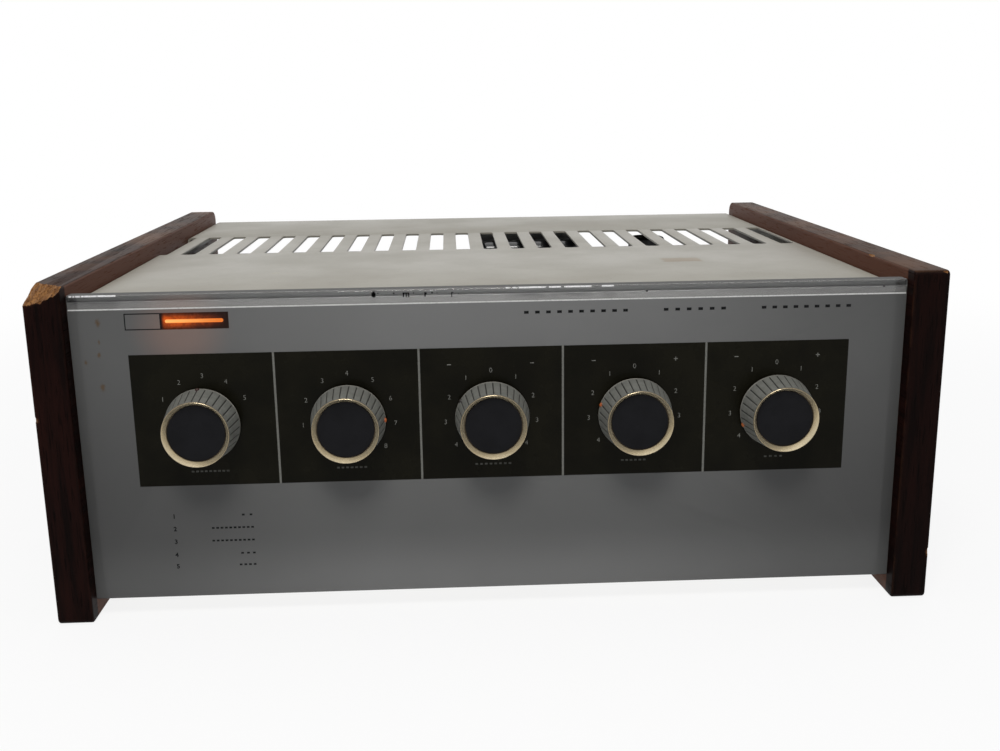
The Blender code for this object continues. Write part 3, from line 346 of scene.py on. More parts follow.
def turned_mesh(name, profile, steps, ring=False, flute=None, sharp=35):
    """Turned about local Z from (radius, height, material number) points down its outer side.

    A number belongs to the band below its point. flute(angle, radius, height) gives the cut into the radius.
    """
    bm = bmesh.new()
    rows = []
    for radius, height, _ in profile:
        row = []
        for k in range(steps if radius else 1):
            angle = 2 * math.pi * k / steps
            reach = radius - flute(angle, radius, height) if flute else radius
            row.append(bm.verts.new((reach * math.cos(angle), reach * math.sin(angle), height)))
        rows.append(row)
    if ring:
        rows.append(rows[0])
    for upper, lower, point in zip(rows, rows[1:], profile):
        for k in range(steps):
            corners = []
            for row, step in ((upper, k), (lower, k), (lower, k + 1), (upper, k + 1)):
                vert = row[step % len(row)]
                if vert not in corners:
                    corners.append(vert)
            if len(corners) > 2:
                bm.faces.new(corners).material_index = point[2]
    return mesh_from(bm, name, sharp)


def slotted_screw(name, radius, height, slot_width):
    """Pan head with a straight slot, standing on z = 0."""
    dome = [(radius * math.sin(a), height * math.cos(a) ** 0.7, 0) for a in (math.pi / 2 * k / 7 for k in range(8))]
    head = bpy.data.objects.new(name + "_blank", turned_mesh(name, dome + [(radius, 0, 0), (0, 0, 0)][1:], 32))
    bm = bmesh.new()
    cuboid(bm, (-2 * radius, -slot_width / 2, height * 0.5), (2 * radius, slot_width / 2, 2 * height))
    blade = bpy.data.objects.new(name + "_slot", mesh_from(bm, name + "_slot"))
    for obj in (head, blade):
        bpy.context.scene.collection.objects.link(obj)
    add_modifier(head, "BOOLEAN", object=blade, operation="DIFFERENCE", solver="EXACT")
    mesh = settle(head)
    mesh.name = name
    for obj in (head, blade):
        bpy.data.objects.remove(obj)
    return mesh


BACKWARD = (-math.pi / 2, 0, 0)  # turns local +Z to point out of the back
FORWARD = (math.pi / 2, 0, 0)  # turns local +Z to point out of the front
pan_head = slotted_screw("pan_head", BOLT_RADIUS, BOLT_HEIGHT, 0.0009)

for word, side in (("front", -1), ("rear", 1)):
    node = "mains_transformer_%s_cap" % word
    low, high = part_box(node)
    bm = bmesh.new()
    cuboid(bm, low, high)
    bm.normal_update()
    bmesh.ops.delete(bm, geom=[f for f in bm.faces if f.normal.y * side < -0.5], context="FACES")
    folds = [e for e in bm.edges if len(e.link_faces) == 2]
    bmesh.ops.bevel(bm, geom=folds, offset=COVER_CORNER, segments=8, affect="EDGES", profile=0.5)
    cap = add_piece(
        "mains_transformer_%s_cover" % word, mesh_from(bm, node), [black_enamel], replaces=[node]
    )
    add_modifier(cap, "SOLIDIFY", thickness=COVER_WALL, offset=-1, use_even_offset=True)
    settle(cap)
    face = high.y if side > 0 else low.y
    corners = [(x, z) for x in (low.x + BOLT_INSET, high.x - BOLT_INSET) for z in (low.z + BOLT_INSET, high.z - BOLT_INSET)]
    for i, (x, z) in enumerate(corners):
        turn = BACKWARD if side > 0 else FORWARD
        add_piece("mains_bolt_%s_%d" % (word, i + 1), pan_head, [nickel_plate], place=(x, face, z), turn=turn)


# Output transformers. Two smaller stacks in the rear corners, varnished but without covers, so that
# their coils and the edges of their laminations show.

finish_nodes(lamination_iron, "output_transformer_left_core", "output_transformer_right_core")
finish_nodes(winding, "output_transformer_left_coil", "output_transformer_right_coil")


# Smoothing capacitor. A tall drawn can in a black sleeve, crimped at the foot, beside the mains
# transformer. Its top is bare aluminium round a rubber vent disc.

SLEEVE_LIP = 0.0012
VENT_RADIUS = 0.0035


def brushed_aluminium(name, colour, roughness, metallic=1.0, darker_tone=None):
    """Turned or brushed aluminium with fine rings round local Z, a dull oxide bloom, and maybe a
    darker colour towards an inner and an outer radius."""
    material, tree, shader = new_material(name, {"Metallic": metallic})
    point = add_node(tree, "TexCoord").outputs["Object"]
    flat = add_node(tree, "VectorMath", {0: point, 1: (1.0, 1.0, 0.0)}, operation="MULTIPLY").outputs[0]
    radius = add_node(tree, "VectorMath", {0: flat}, operation="LENGTH").outputs["Value"]
    rings = noise(tree, 1.0, 2, 0.5, add_node(tree, "CombineXYZ", {"X": calculate(tree, "MULTIPLY", radius, 9000)}).outputs[0])
    bloom = noise(tree, 300, 4)
    metal = mix_colours(tree, bloom, colour, tuple(c * 0.72 for c in colour))
    if darker_tone:
        # darker brown towards the inner and the outer radius
        brown, inner, outer, width = darker_tone
        darker_edges = calculate(tree, "MAXIMUM", spread(tree, radius, inner, inner + width, 1.0, 0.0), spread(tree, radius, outer - width, outer))
        metal = mix_colours(tree, calculate(tree, "MULTIPLY", darker_edges, 0.85), metal, brown)
    feed(
        tree,
        shader,
        Base_Color=metal,
        Roughness=calculate(tree, "ADD", roughness - 0.1, calculate(tree, "MULTIPLY", calculate(tree, "ADD", rings, bloom), 0.1)),
        Normal=bump(tree, rings, 0.00002, 0.35),
    )
    return material


def moulded(name, colour, roughness, grain, gloss=0.4):
    """Moulded plastic or rubber with a fine grain and greasy patches."""
    material, tree, shader = new_material(name, {"IOR": 1.5, "Specular IOR Level": gloss})
    age = use_group(tree, ageing, Patch_Size=0.01, Speckle_Size=0.001)
    dusty = use_group(tree, settled_dust, Amount=0.4, Patch_Size=0.01)["Mask"]
    feed(
        tree,
        shader,
        Base_Color=mix_colours(tree, dusty, mix_colours(tree, age["Patches"], colour, tuple(c * 0.7 for c in colour)), (0.15, 0.14, 0.12)),
        Roughness=calculate(tree, "ADD", roughness, calculate(tree, "MULTIPLY", age["Patches"], 0.15)),
        Normal=bump(tree, noise(tree, grain, 2), 0.00003, 0.4),
    )
    return material


bare_aluminium = brushed_aluminium("bare_aluminium", (0.6, 0.6, 0.58), 0.35)
black_plastic = moulded("black_plastic", (0.014, 0.014, 0.016), 0.28, 900)
black_rubber = moulded("black_rubber", (0.018, 0.018, 0.018), 0.65, 1600)

low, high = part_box("smoothing_capacitor")
radius, height = (high.x - low.x) / 2, high.z - low.z
profile = [
    (0, height - SLEEVE_LIP, 2),
    (VENT_RADIUS, height - SLEEVE_LIP, 1),
    (VENT_RADIUS + 0.0003, height - SLEEVE_LIP * 1.3, 1),
    (radius - 3.2 * SLEEVE_LIP, height - SLEEVE_LIP * 1.3, 1),
    (radius - 2 * SLEEVE_LIP, height - SLEEVE_LIP / 4, 1),
    (radius - 1.5 * SLEEVE_LIP, height, 1),
    (radius - SLEEVE_LIP, height - SLEEVE_LIP / 5, 0),
    (radius - SLEEVE_LIP / 3, height - SLEEVE_LIP * 0.6, 0),
    (radius, height - 1.3 * SLEEVE_LIP, 0),
    (radius, 5 * SLEEVE_LIP, 0),
    (radius - SLEEVE_LIP * 0.7, 4.4 * SLEEVE_LIP, 0),
    (radius - SLEEVE_LIP, 3.8 * SLEEVE_LIP, 0),
    (radius - SLEEVE_LIP * 0.7, 3.2 * SLEEVE_LIP, 0),
    (radius, 2.6 * SLEEVE_LIP, 0),
    (radius, 0, 0),
    (0, 0, 0),
]
add_piece(
    "capacitor_can",
    turned_mesh("capacitor_can", profile, 56),
    [black_plastic, bare_aluminium, black_rubber],
    place=((low.x + high.x) / 2, (low.y + high.y) / 2, low.z),
    replaces=["smoothing_capacitor"],
)


# Valves and their holders. Four output pentodes and two double triodes: blown glass over a grey
# anode held between mica discs, with a silver getter mirror in the crown, in cream ceramic holders.

GLASS_WALL = 0.0007
ANODE = (0.0125, 0.0085)  # width and depth
MICA_THICKNESS = 0.0004
GETTER_SHARE = 0.82  # lower edge of the mirror, as a share of the height
valve_glass, tree, shader = new_material(
    "valve_glass",
    {"Base Color": (0.93, 0.95, 0.94, 1), "Roughness": 0.02, "IOR": 1.5, "Transmission Weight": 1.0},
)
clear = add_node(tree, "BsdfTransparent", {"Color": (0.93, 0.95, 0.94, 1)}).outputs[0]
shadow_ray = add_node(tree, "LightPath").outputs["Is Shadow Ray"]
glass_mix = add_node(tree, "MixShader", {0: shadow_ray, 1: shader.outputs[0], 2: clear}).outputs[0]
tree.links.new(glass_mix, tree.nodes["Material Output"].inputs["Surface"])
tree.links.new(bump(tree, noise(tree, 120, 2), 0.00005, 0.3), shader.inputs["Normal"])

cream_ceramic = moulded("cream_ceramic", (0.55, 0.49, 0.38), 0.35, 700)
anode_grey = plated_steel("anode_grey", (0.12, 0.12, 0.13), (0.07, 0.07, 0.075), dust=0.0)
getter_mirror = plated_steel("getter_mirror", (0.7, 0.7, 0.68), (0.25, 0.2, 0.14), dust=0.0)
mica = moulded("mica", (0.5, 0.46, 0.38), 0.2, 2000)


def valve_profile(radius, height, steps=9):
    """Outer line of the glass from the exhaust tip down: (radius, height) points."""
    tip = radius / 5
    crown = height - radius / 2
    line = [(0, height), (tip * 0.45, height - tip * 0.25), (tip * 0.7, height - tip * 0.8)]
    for k in range(steps):
        a = math.pi / 2 * k / (steps - 1)
        line.append((tip + (radius - tip) * math.sin(a), crown + radius * 0.9 * (math.cos(a) - 1)))
    return line + [(radius, tip), (radius - tip / 3, tip / 3), (radius - tip, 0)]


def valve_meshes(kind, radius, height):
    """The glass, and what stands inside it, both on z = 0."""
    outer = valve_profile(radius, height)
    inner = [(max(r - GLASS_WALL, 0), z - GLASS_WALL if z > height / 2 else z + GLASS_WALL) for r, z in outer]
    line = [(r, z, 0) for r, z in outer] + [(0, 0, 0), (0, GLASS_WALL, 0)] + [(r, z, 0) for r, z in reversed(inner)]
    glass = turned_mesh(kind + "_glass", line, 40)

    bm = bmesh.new()
    bottom, top = height * 0.18, height * 0.72
    cuboid(bm, (-ANODE[0] / 2, -ANODE[1] / 2, bottom), (ANODE[0] / 2, ANODE[1] / 2, top), ANODE[1] / 3)
    for level in (bottom + 0.004, (bottom + top) / 2, top - 0.004):
        cuboid(bm, (-ANODE[0] / 2 - 0.0004, -ANODE[1] / 2 - 0.0004, level), (ANODE[0] / 2 + 0.0004, ANODE[1] / 2 + 0.0004, level + 0.001), ANODE[1] / 3)
    count = len(bm.faces)
    for level in (bottom - 0.001, top + 0.001):
        bmesh.ops.create_cone(
            bm, cap_ends=True, segments=24, radius1=radius - 1.6 * GLASS_WALL, radius2=radius - 1.6 * GLASS_WALL,
            depth=MICA_THICKNESS, matrix=Matrix.Translation((0, 0, level)),
        )
    for i, face in enumerate(bm.faces):
        face.material_index = 0 if i < count else 1
    core = mesh_from(bm, kind + "_electrodes")

    mirror = [(r * 0.985, z) for r, z in inner if z > height * GETTER_SHARE and r > radius / 4]
    lowest = (inner[-4][0] * 0.985, height * GETTER_SHARE)
    path = [(r, z, 0) for r, z in mirror + [lowest]]
    back = [(max(r - 0.0001, 0.0001), z - 0.00005, 0) for r, z, _ in reversed(path)]
    getter = turned_mesh(kind + "_getter", path + back, 40, ring=True)
    return glass, core, getter


sets = {kind: None for kind in ("output", "preamp")}
for node in sorted(name for name in nodes if "_valve_" in name):
    if node.endswith("_holder"):
        finish_nodes(cream_ceramic, node)
        continue
    kind = node.split("_")[0]
    low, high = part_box(node)
    place = ((low.x + high.x) / 2, (low.y + high.y) / 2, low.z)
    if not sets[kind]:
        sets[kind] = valve_meshes(kind, (high.x - low.x) / 2, high.z - low.z)
    glass, core, getter = sets[kind]
    add_piece(node + "_glass", glass, [valve_glass], place=place, replaces=[node])
    add_piece(node + "_electrodes", core, [anode_grey, mica], place=place)
    add_piece(node + "_getter", getter, [getter_mirror], place=place)


# Back panel. A steel plate folded in along its top and painted grey, held to the chassis's back wall
# by six slotted screws. An air gap is left above it, below the cover's rear lip.

SCREW_RADIUS = 0.0029
SCREW_HEIGHT = 0.0016
SCREW_INSET = 0.007


def sprayed_paint(name, colour, worn, roughness, peel, dust, rub=0.8, sheen=0.0):
    """Paint sprayed on steel: slight orange peel, cloudy fading, rubbed edges and dust."""
    material, tree, shader = new_material(name, {"Specular IOR Level": 0.22})
    age = use_group(tree, ageing, Patch_Size=0.05, Speckle_Size=0.0015)
    edge = use_group(tree, edge_rub, Width=0.0005, Patch_Size=0.009, Amount=rub)["Mask"]
    dusty = use_group(tree, settled_dust, Amount=dust, Patch_Size=0.04)["Mask"]
    fading_and_inner_light = mix_colours(tree, calculate(tree, "MULTIPLY", age["Patches"], 0.5), colour, tuple(c * 0.84 for c in colour))
    soiled = mix_colours(tree, calculate(tree, "MULTIPLY", age["Speckle"], 0.35), fading_and_inner_light, tuple(c * 0.55 for c in colour))
    feed(
        tree,
        shader,
        Base_Color=mix_colours(tree, edge, mix_colours(tree, dusty, soiled, (0.3, 0.28, 0.24)), worn),
        Roughness=calculate(tree, "ADD", roughness, calculate(tree, "MULTIPLY", age["Patches"], 0.12)),
        Normal=bump(tree, noise(tree, peel, 2), 0.00004, 0.5),
    )
    return material, tree, shader


grey_paint, _, _ = sprayed_paint("grey_paint", (0.17, 0.175, 0.175), (0.3, 0.29, 0.27), 0.42, 900, 0.25)
finish_nodes(grey_paint, "back_panel", "front_panel")
case_screw = slotted_screw("case_screw", SCREW_RADIUS, SCREW_HEIGHT, 0.0008)
low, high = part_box("back_panel")
places = [(x, z) for x in (low.x + SCREW_INSET, high.x - SCREW_INSET) for z in (low.z + 0.03, high.z - 0.025)]
places += [(x, low.z + 0.033) for x in (-0.045, 0.005)]
for i, (x, z) in enumerate(places):
    turn = (BACKWARD[0], 0.4 * i, 0)
    add_piece("back_screw_%d" % (i + 1), case_screw, [nickel_plate], place=(x, high.y, z), turn=turn)


# Input sockets and speaker terminals. Eight phono sockets riveted through one strip of paxolin, and
# two strips with four slotted screw terminals each, for the speakers' wires.

INPUT_COUNT, INPUT_PITCH = 8, 0.014
TERMINAL_COUNT, TERMINAL_PITCH = 4, 0.0095
STRIP_THICKNESS = 0.002
SOCKET_RADIUS, SOCKET_REACH, SOCKET_BORE, SOCKET_TAIL = 0.0041, 0.0068, 0.0016, 0.007
RIVET_RADIUS = 0.0013
TERMINAL_RADIUS, TERMINAL_REACH = 0.0031, 0.0042
CONTACT_RADIUS = 0.0006

phono_white = moulded("phono_white", (0.5, 0.48, 0.42), 0.35, 900)
socket_profile = [
    (SOCKET_RADIUS - 0.0006, SOCKET_REACH, 0),
    (SOCKET_RADIUS - 0.0002, SOCKET_REACH - 0.0001, 0),
    (SOCKET_RADIUS, SOCKET_REACH - 0.0005, 0),
    (SOCKET_RADIUS, 0.0011, 0),
    (SOCKET_RADIUS + 0.0009, 0.0009, 0),
    (SOCKET_RADIUS + 0.0009, 0, 0),
    (SOCKET_RADIUS - 0.0008, -SOCKET_TAIL, 1),
    (SOCKET_BORE, -SOCKET_TAIL, 1),
    (SOCKET_BORE, SOCKET_REACH - 0.0012, 1),
    (SOCKET_RADIUS - 0.0009, SOCKET_REACH - 0.0012, 0),
]
phono_socket = turned_mesh("phono_socket", socket_profile, 40, ring=True)
contact_profile = [(0, 0.0042, 0), (CONTACT_RADIUS, 0.0038, 0), (CONTACT_RADIUS, -SOCKET_TAIL, 0), (0, -SOCKET_TAIL, 0)]
rivet = turned_mesh("rivet", [(0, 0.0007, 0), (0.0007, 0.0006, 0), (RIVET_RADIUS, 0.0002, 0), (RIVET_RADIUS, 0, 0), (0, 0, 0)], 20)
contact = turned_mesh("phono_contact", contact_profile, 16)
terminal_screw = slotted_screw("terminal_screw", TERMINAL_RADIUS - 0.0002, 0.0017, 0.0008)
washer_profile = [
    (TERMINAL_RADIUS + 0.0004, 0.0008, 0),
    (TERMINAL_RADIUS + 0.0004, 0, 0),
    (0.0012, 0, 0),
    (0.0012, 0.0008, 0),
]
washer = turned_mesh("terminal_washer", washer_profile, 28, ring=True)
stem = turned_mesh("terminal_stem", [(0, 0.0026, 0), (0.0022, 0.0026, 0), (0.0022, 0, 0), (0, 0, 0)], 24)


def socket_plate(node, material):
    """The strip itself, with rounded corners and softened edges. Returns its middle and outside face."""
    low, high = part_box(node)
    plate_low, plate_high = Vector(low), Vector(high)
    plate_low.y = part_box("back_panel")[1].y + 0.0003
    plate_high.y = plate_low.y + STRIP_THICKNESS
    bm = bmesh.new()
    cuboid(bm, plate_low, plate_high, corner=0.0015, upright=1)
    plate = add_piece(node + "_plate", mesh_from(bm, node), [material], replaces=[node])
    add_modifier(plate, "BEVEL", width=0.0002, segments=2, limit_method="ANGLE")
    settle(plate)
    return (low.x + high.x) / 2, plate_high.y, (low.z + high.z) / 2


middle_x, face_y, middle_z = socket_plate("input_socket_strip", paxolin)
for i in range(INPUT_COUNT):
    x = middle_x + (i - (INPUT_COUNT - 1) / 2) * INPUT_PITCH
    place = (x, face_y, middle_z)
    add_piece("phono_socket_%d" % (i + 1), phono_socket, [nickel_plate, phono_white], place=place, turn=BACKWARD)
    add_piece("phono_contact_%d" % (i + 1), contact, [nickel_plate], place=place, turn=BACKWARD)
    for word, step in (("upper", 1), ("lower", -1)):
        spot = (x + step * 0.0042, face_y, middle_z + step * 0.0075)
        add_piece("phono_rivet_%s_%d" % (word, i + 1), rivet, [bare_aluminium], place=spot, turn=BACKWARD)

for side in ("left", "right"):
    middle_x, face_y, middle_z = socket_plate("speaker_terminals_" + side, paxolin)
    for i in range(TERMINAL_COUNT):
        x = middle_x + (i - (TERMINAL_COUNT - 1) / 2) * TERMINAL_PITCH
        tag = "%s_%d" % (side, i + 1)
        lean = (BACKWARD[0], 0.7 * i + (0.3 if side == "left" else 1.1), 0)
        add_piece("terminal_washer_" + tag, washer, [nickel_plate], place=(x, face_y, middle_z), turn=BACKWARD)
        add_piece("terminal_stem_" + tag, stem, [nickel_plate], place=(x, face_y, middle_z), turn=BACKWARD)
        spot = (x, face_y + 0.0025, middle_z)
        add_piece("terminal_screw_" + tag, terminal_screw, [nickel_plate], place=spot, turn=lean)


# Fuse holder, voltage selector and cord grommet. Two black mouldings, the first with a knurled cap
# and the second with a plug that is turned by a coin, and a rubber grommet for the mains cord.

KNURL_COUNT = 24
KNURL_DEPTH = 0.0004


def knurl(angle, radius, height):
    return KNURL_DEPTH * (0.5 - 0.5 * math.cos(KNURL_COUNT * angle)) if 0.0021 < height < 0.0056 else 0.0


def coin_slot(piece, length, width, depth, top):
    """Cuts a straight slot across the end of a turned piece."""
    bm = bmesh.new()
    cuboid(bm, (-length / 2, -width / 2, top - depth), (length / 2, width / 2, top + depth))
    blade = bpy.data.objects.new(piece.name + "_slot", mesh_from(bm, piece.name + "_slot"))
    bpy.context.scene.collection.objects.link(blade)
    blade.matrix_world = piece.matrix_world
    add_modifier(piece, "BOOLEAN", object=blade, operation="DIFFERENCE", solver="EXACT")
    settle(piece)
    bpy.data.objects.remove(blade)


panel_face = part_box("back_panel")[1].y + 0.0003
low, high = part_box("fuse_holder")
radius, reach = (high.x - low.x) / 2, high.y - panel_face
cap_radius = radius - 0.0015
profile = [(0, reach, 0), (cap_radius - 0.0012, reach, 0), (cap_radius - 0.0004, reach - 0.0003, 0), (cap_radius, reach - 0.0009, 0)]
profile += [(cap_radius, z, 0) for z in (0.0045, 0.0035, 0.0022)]
profile += [(cap_radius, 0.0019, 0), (radius - 0.0004, 0.0018, 0), (radius, 0.0014, 0), (radius, 0, 0)]
profile += [(0.006, 0, 0), (0.006, -0.018, 0), (0.0045, -0.0195, 0), (0.0045, low.y - panel_face, 0), (0, low.y - panel_face, 0)]
place = ((low.x + high.x) / 2, panel_face, (low.z + high.z) / 2)
mesh = turned_mesh("fuse_cap", profile, KNURL_COUNT * 8, flute=knurl)
fuse = add_piece("fuse_cap", mesh, [black_plastic], place=place, turn=BACKWARD, replaces=["fuse_holder"])
coin_slot(fuse, 0.008, 0.0012, 0.0014, reach)

low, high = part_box("voltage_selector")
radius, reach = (high.x - low.x) / 2, high.y - panel_face
profile = [
    (0, reach, 0),
    (0.0072, reach, 0),
    (0.008, reach - 0.0002, 0),
    (0.0084, reach - 0.0008, 0),
    (0.0084, 0.0022, 0),
    (0.0088, 0.0019, 0),
    (radius - 0.0005, 0.0018, 0),
    (radius, 0.0013, 0),
    (radius, 0, 0),
    (0.0095, 0, 0),
    (0.0095, low.y - panel_face, 0),
    (0, low.y - panel_face, 0),
]
place = ((low.x + high.x) / 2, panel_face, (low.z + high.z) / 2)
mesh = turned_mesh("voltage_plug", profile, 64)
plug = add_piece("voltage_plug", mesh, [black_plastic], place=place, turn=BACKWARD, replaces=["voltage_selector"])
coin_slot(plug, 0.0115, 0.0016, 0.002, reach)

low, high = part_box("mains_cord_grommet")
radius, reach, back = (high.x - low.x) / 2, high.y - panel_face, low.y - panel_face
bore = 0.0036
outer = [(radius - reach * (1 - math.sin(a)), reach * math.cos(a), 0) for a in (math.pi / 2 * k / 6 for k in range(7))]
profile = [(bore + 0.0004, reach, 0)] + outer + [(0.0058, 0, 0), (0.0055, -0.0003, 0), (0.0055, -0.0018, 0)]
profile += [(radius, -0.0018, 0), (radius, back + 0.0006, 0), (radius - 0.0008, back, 0), (bore + 0.0004, back, 0)]
profile += [(bore, back + 0.0005, 0), (bore, reach - 0.0005, 0)]
place = ((low.x + high.x) / 2, panel_face, (low.z + high.z) / 2)
mesh = turned_mesh("cord_grommet", profile, 48, ring=True, sharp=50)
add_piece("cord_grommet", mesh, [black_rubber], place=place, turn=BACKWARD, replaces=["mains_cord_grommet"])


# Controls. A rotary switch on paxolin wafers and four twin potentiometers in plated cans, each held
# to the front panel by a thin hexagon nut, with a quarter-inch spindle.

NUT_ACROSS_FLATS = 0.0125
NUT_HEIGHT = 0.0021
CONTROLS = ("selector", "volume", "balance", "treble", "bass")
POINTERS = dict(zip(CONTROLS, (-3.0, 88.0, -59.0, -72.0, -111.0)))  # degrees clockwise from straight up

finish_nodes(paxolin, "selector_switch")
finish_nodes(plated_steel("pot_can", (0.5, 0.49, 0.45), (0.36, 0.34, 0.3), dust=0.3), *[c + "_pot" for c in CONTROLS[1:]])
finish_nodes(nickel_plate, *[c + "_spindle" for c in CONTROLS])

axes = {}
for name in CONTROLS:
    low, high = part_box(name + "_knob_disc")
    joint = [j for j in frame["joints"] if j["name"] == name + "_turn"][0]
    axes[name] = Vector(joint["pos_m"] if "pos_m" in joint else joint["pos"])
FACE_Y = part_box("fascia_window")[0].y
panel_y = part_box("front_panel")[0].y

bm = bmesh.new()
bmesh.ops.create_cone(bm, cap_ends=True, segments=6, radius1=NUT_ACROSS_FLATS / 3**0.5, radius2=NUT_ACROSS_FLATS / 3**0.5, depth=NUT_HEIGHT)
bmesh.ops.translate(bm, verts=bm.verts, vec=(0, 0, NUT_HEIGHT / 2))
hexagon = bpy.data.objects.new("hexagon", mesh_from(bm, "hexagon"))
bm = bmesh.new()
bmesh.ops.create_cone(bm, cap_ends=True, segments=32, radius1=0.0048, radius2=0.0048, depth=4 * NUT_HEIGHT)
thread = bpy.data.objects.new("thread", mesh_from(bm, "thread"))
for obj in (hexagon, thread):
    bpy.context.scene.collection.objects.link(obj)
add_modifier(hexagon, "BOOLEAN", object=thread, operation="DIFFERENCE", solver="EXACT")
add_modifier(hexagon, "BEVEL", width=0.0002, segments=2, limit_method="ANGLE")
bush_nut = settle(hexagon)
for obj in (hexagon, thread):
    bpy.data.objects.remove(obj)
for i, name in enumerate(CONTROLS):
    place = (axes[name].x, panel_y, axes[name].z)
    turn = (FORWARD[0], 0.35 * i, 0)
    add_piece(name + "_nut", bush_nut, [nickel_plate], place=place, turn=turn)


# Pilot lamp. A small clear bulb in a bent steel bracket behind the front panel, shining through a
# strip of amber plastic.

GLOW_ZONE = (-0.1410, -0.1125)  # the strip's lit length, brightest at its left end
finish_nodes(zinc_plate, "lamp_holder")

lamp_glass, tree, shader = new_material("lamp_glass", {"Roughness": 0.05, "IOR": 1.5, "Transmission Weight": 1.0})
clear = add_node(tree, "BsdfTransparent").outputs[0]
shadow_ray = add_node(tree, "LightPath").outputs["Is Shadow Ray"]
glass_mix = add_node(tree, "MixShader", {0: shadow_ray, 1: shader.outputs[0], 2: clear}).outputs[0]
tree.links.new(glass_mix, tree.nodes["Material Output"].inputs["Surface"])
frost = noise(tree, 900, 2)
feed(tree, shader, Base_Color=mix_colours(tree, frost, (0.95, 0.9, 0.8), (0.85, 0.75, 0.6)), Normal=bump(tree, frost, 0.00002, 0.4))
finish_nodes(lamp_glass, "pilot_lamp")

amber_plastic, tree, shader = new_material("amber_plastic", {"Emission Strength": 1.0, "Coat Weight": 0.3})
across = add_node(tree, "SeparateXYZ", {0: add_node(tree, "TexCoord").outputs["Object"]}).outputs["X"]
heat = spread(tree, across, GLOW_ZONE[0], GLOW_ZONE[1], 1.0, 0.0)
cloud = noise(tree, 200, 3)
feed(
    tree,
    shader,
    Base_Color=mix_colours(tree, cloud, (0.5, 0.13, 0.02), (0.3, 0.06, 0.01)),
    Roughness=spread(tree, cloud, 0.3, 0.7, 0.3, 0.5),
    Emission_Color=mix_colours(tree, heat, (0.05, 0.008, 0.001), (0.9, 0.3, 0.05)),
)
finish_nodes(amber_plastic, "lamp_window")


# Fascia window. Acrylic sheet, 3 mm thick, with a short lip at the top that lies over the cover's
# front edge. Silver-grey paint shows close under the gloss of the front and of the lip, and deep
# inside the clear band between them.

WINDOW_THICKNESS = 0.003
LIP_DEPTH = 0.007
LIP_CORNER = 0.0008
LIP_UNDERSIDE = 0.1434
CLEAR_FROM = 0.1406  # height above which the front is clear
CUT_RADIUS = 0.0005
BUSH_HOLE = 0.008
PAINT_GREY = (0.165, 0.166, 0.164)
STAINS = (  # x, z and radius
    (-0.1674, 0.1348, 0.0011),
    (-0.1676, 0.1266, 0.0006),
    (-0.1681, 0.1210, 0.0008),
    (-0.1739, 0.1176, 0.0007),
    (-0.1678, 0.1065, 0.0012),
)
LAMP_MIDDLE = (-0.133, -0.1533, 0.131)


def rounded(corners, steps=8, closed=True):
    """A line of (u, v) points with each corner drawn as an arc, from (u, v, radius) corners."""
    count, line = len(corners), []
    for i, (u, v, radius) in enumerate(corners):
        here = Vector((u, v))
        if not radius or (not closed and i in (0, count - 1)):
            line.append(tuple(here))
            continue
        back = (Vector(corners[i - 1][:2]) - here).normalized()
        ahead = (Vector(corners[(i + 1) % count][:2]) - here).normalized()
        half = back.angle(ahead) / 2
        centre = here + (back + ahead).normalized() * radius / math.sin(half)
        first = (here + back * radius / math.tan(half) - centre) / radius
        last = (here + ahead * radius / math.tan(half) - centre) / radius
        line += [tuple(centre + first.slerp(last, k / steps) * radius) for k in range(steps + 1)]
    return line


def bar_mesh(name, line, from_x, to_x, sharp=35):
    """A closed outline of (y, z) points carried along X, with flat ends."""
    bm = bmesh.new()
    ends = [[bm.verts.new((x, y, z)) for y, z in line] for x in (from_x, to_x)]
    for end in ends:
        bm.faces.new(end)
    for k in range(len(line)):
        n = (k + 1) % len(line)
        bm.faces.new((ends[0][k], ends[0][n], ends[1][n], ends[1][k]))
    return mesh_from(bm, name, sharp)


def drill(piece, radius, keep=False):
    """Cuts the five holes round the controls' bushes."""
    bm = bmesh.new()
    for axis in axes.values():
        spot = Matrix.Translation((axis.x, FACE_Y + WINDOW_THICKNESS, axis.z)) @ Matrix.Rotation(math.pi / 2, 4, "X")
        bmesh.ops.create_cone(bm, cap_ends=True, segments=48, radius1=radius, radius2=radius, depth=0.02, matrix=spot)
    drills = bpy.data.objects.new("drills", mesh_from(bm, "drills"))
    bpy.context.scene.collection.objects.link(drills)
    add_modifier(piece, "BOOLEAN", object=drills, operation="DIFFERENCE", solver="EXACT")
    settle(piece)
    bpy.data.objects.remove(drills)


clear_acrylic, tree, shader = new_material(
    "clear_acrylic", {"Base Color": (1, 1, 1, 1), "IOR": 1.49, "Transmission Weight": 1.0}
)
clear = add_node(tree, "BsdfTransparent", {"Color": (1, 1, 1, 1)}).outputs[0]
shadow_ray = add_node(tree, "LightPath").outputs["Is Shadow Ray"]
glass_mix = add_node(tree, "MixShader", {0: shadow_ray, 1: shader.outputs[0], 2: clear}).outputs[0]
tree.links.new(glass_mix, tree.nodes["Material Output"].inputs["Surface"])
point = add_node(tree, "TexCoord").outputs["Object"]
handled = noise(tree, 45, 6, 0.7)
feed(tree, shader, Roughness=spread(tree, handled, 0.5, 0.8, 0.0, 0.03), Normal=bump(tree, noise(tree, 25, 2), 0.00005, 0.1))

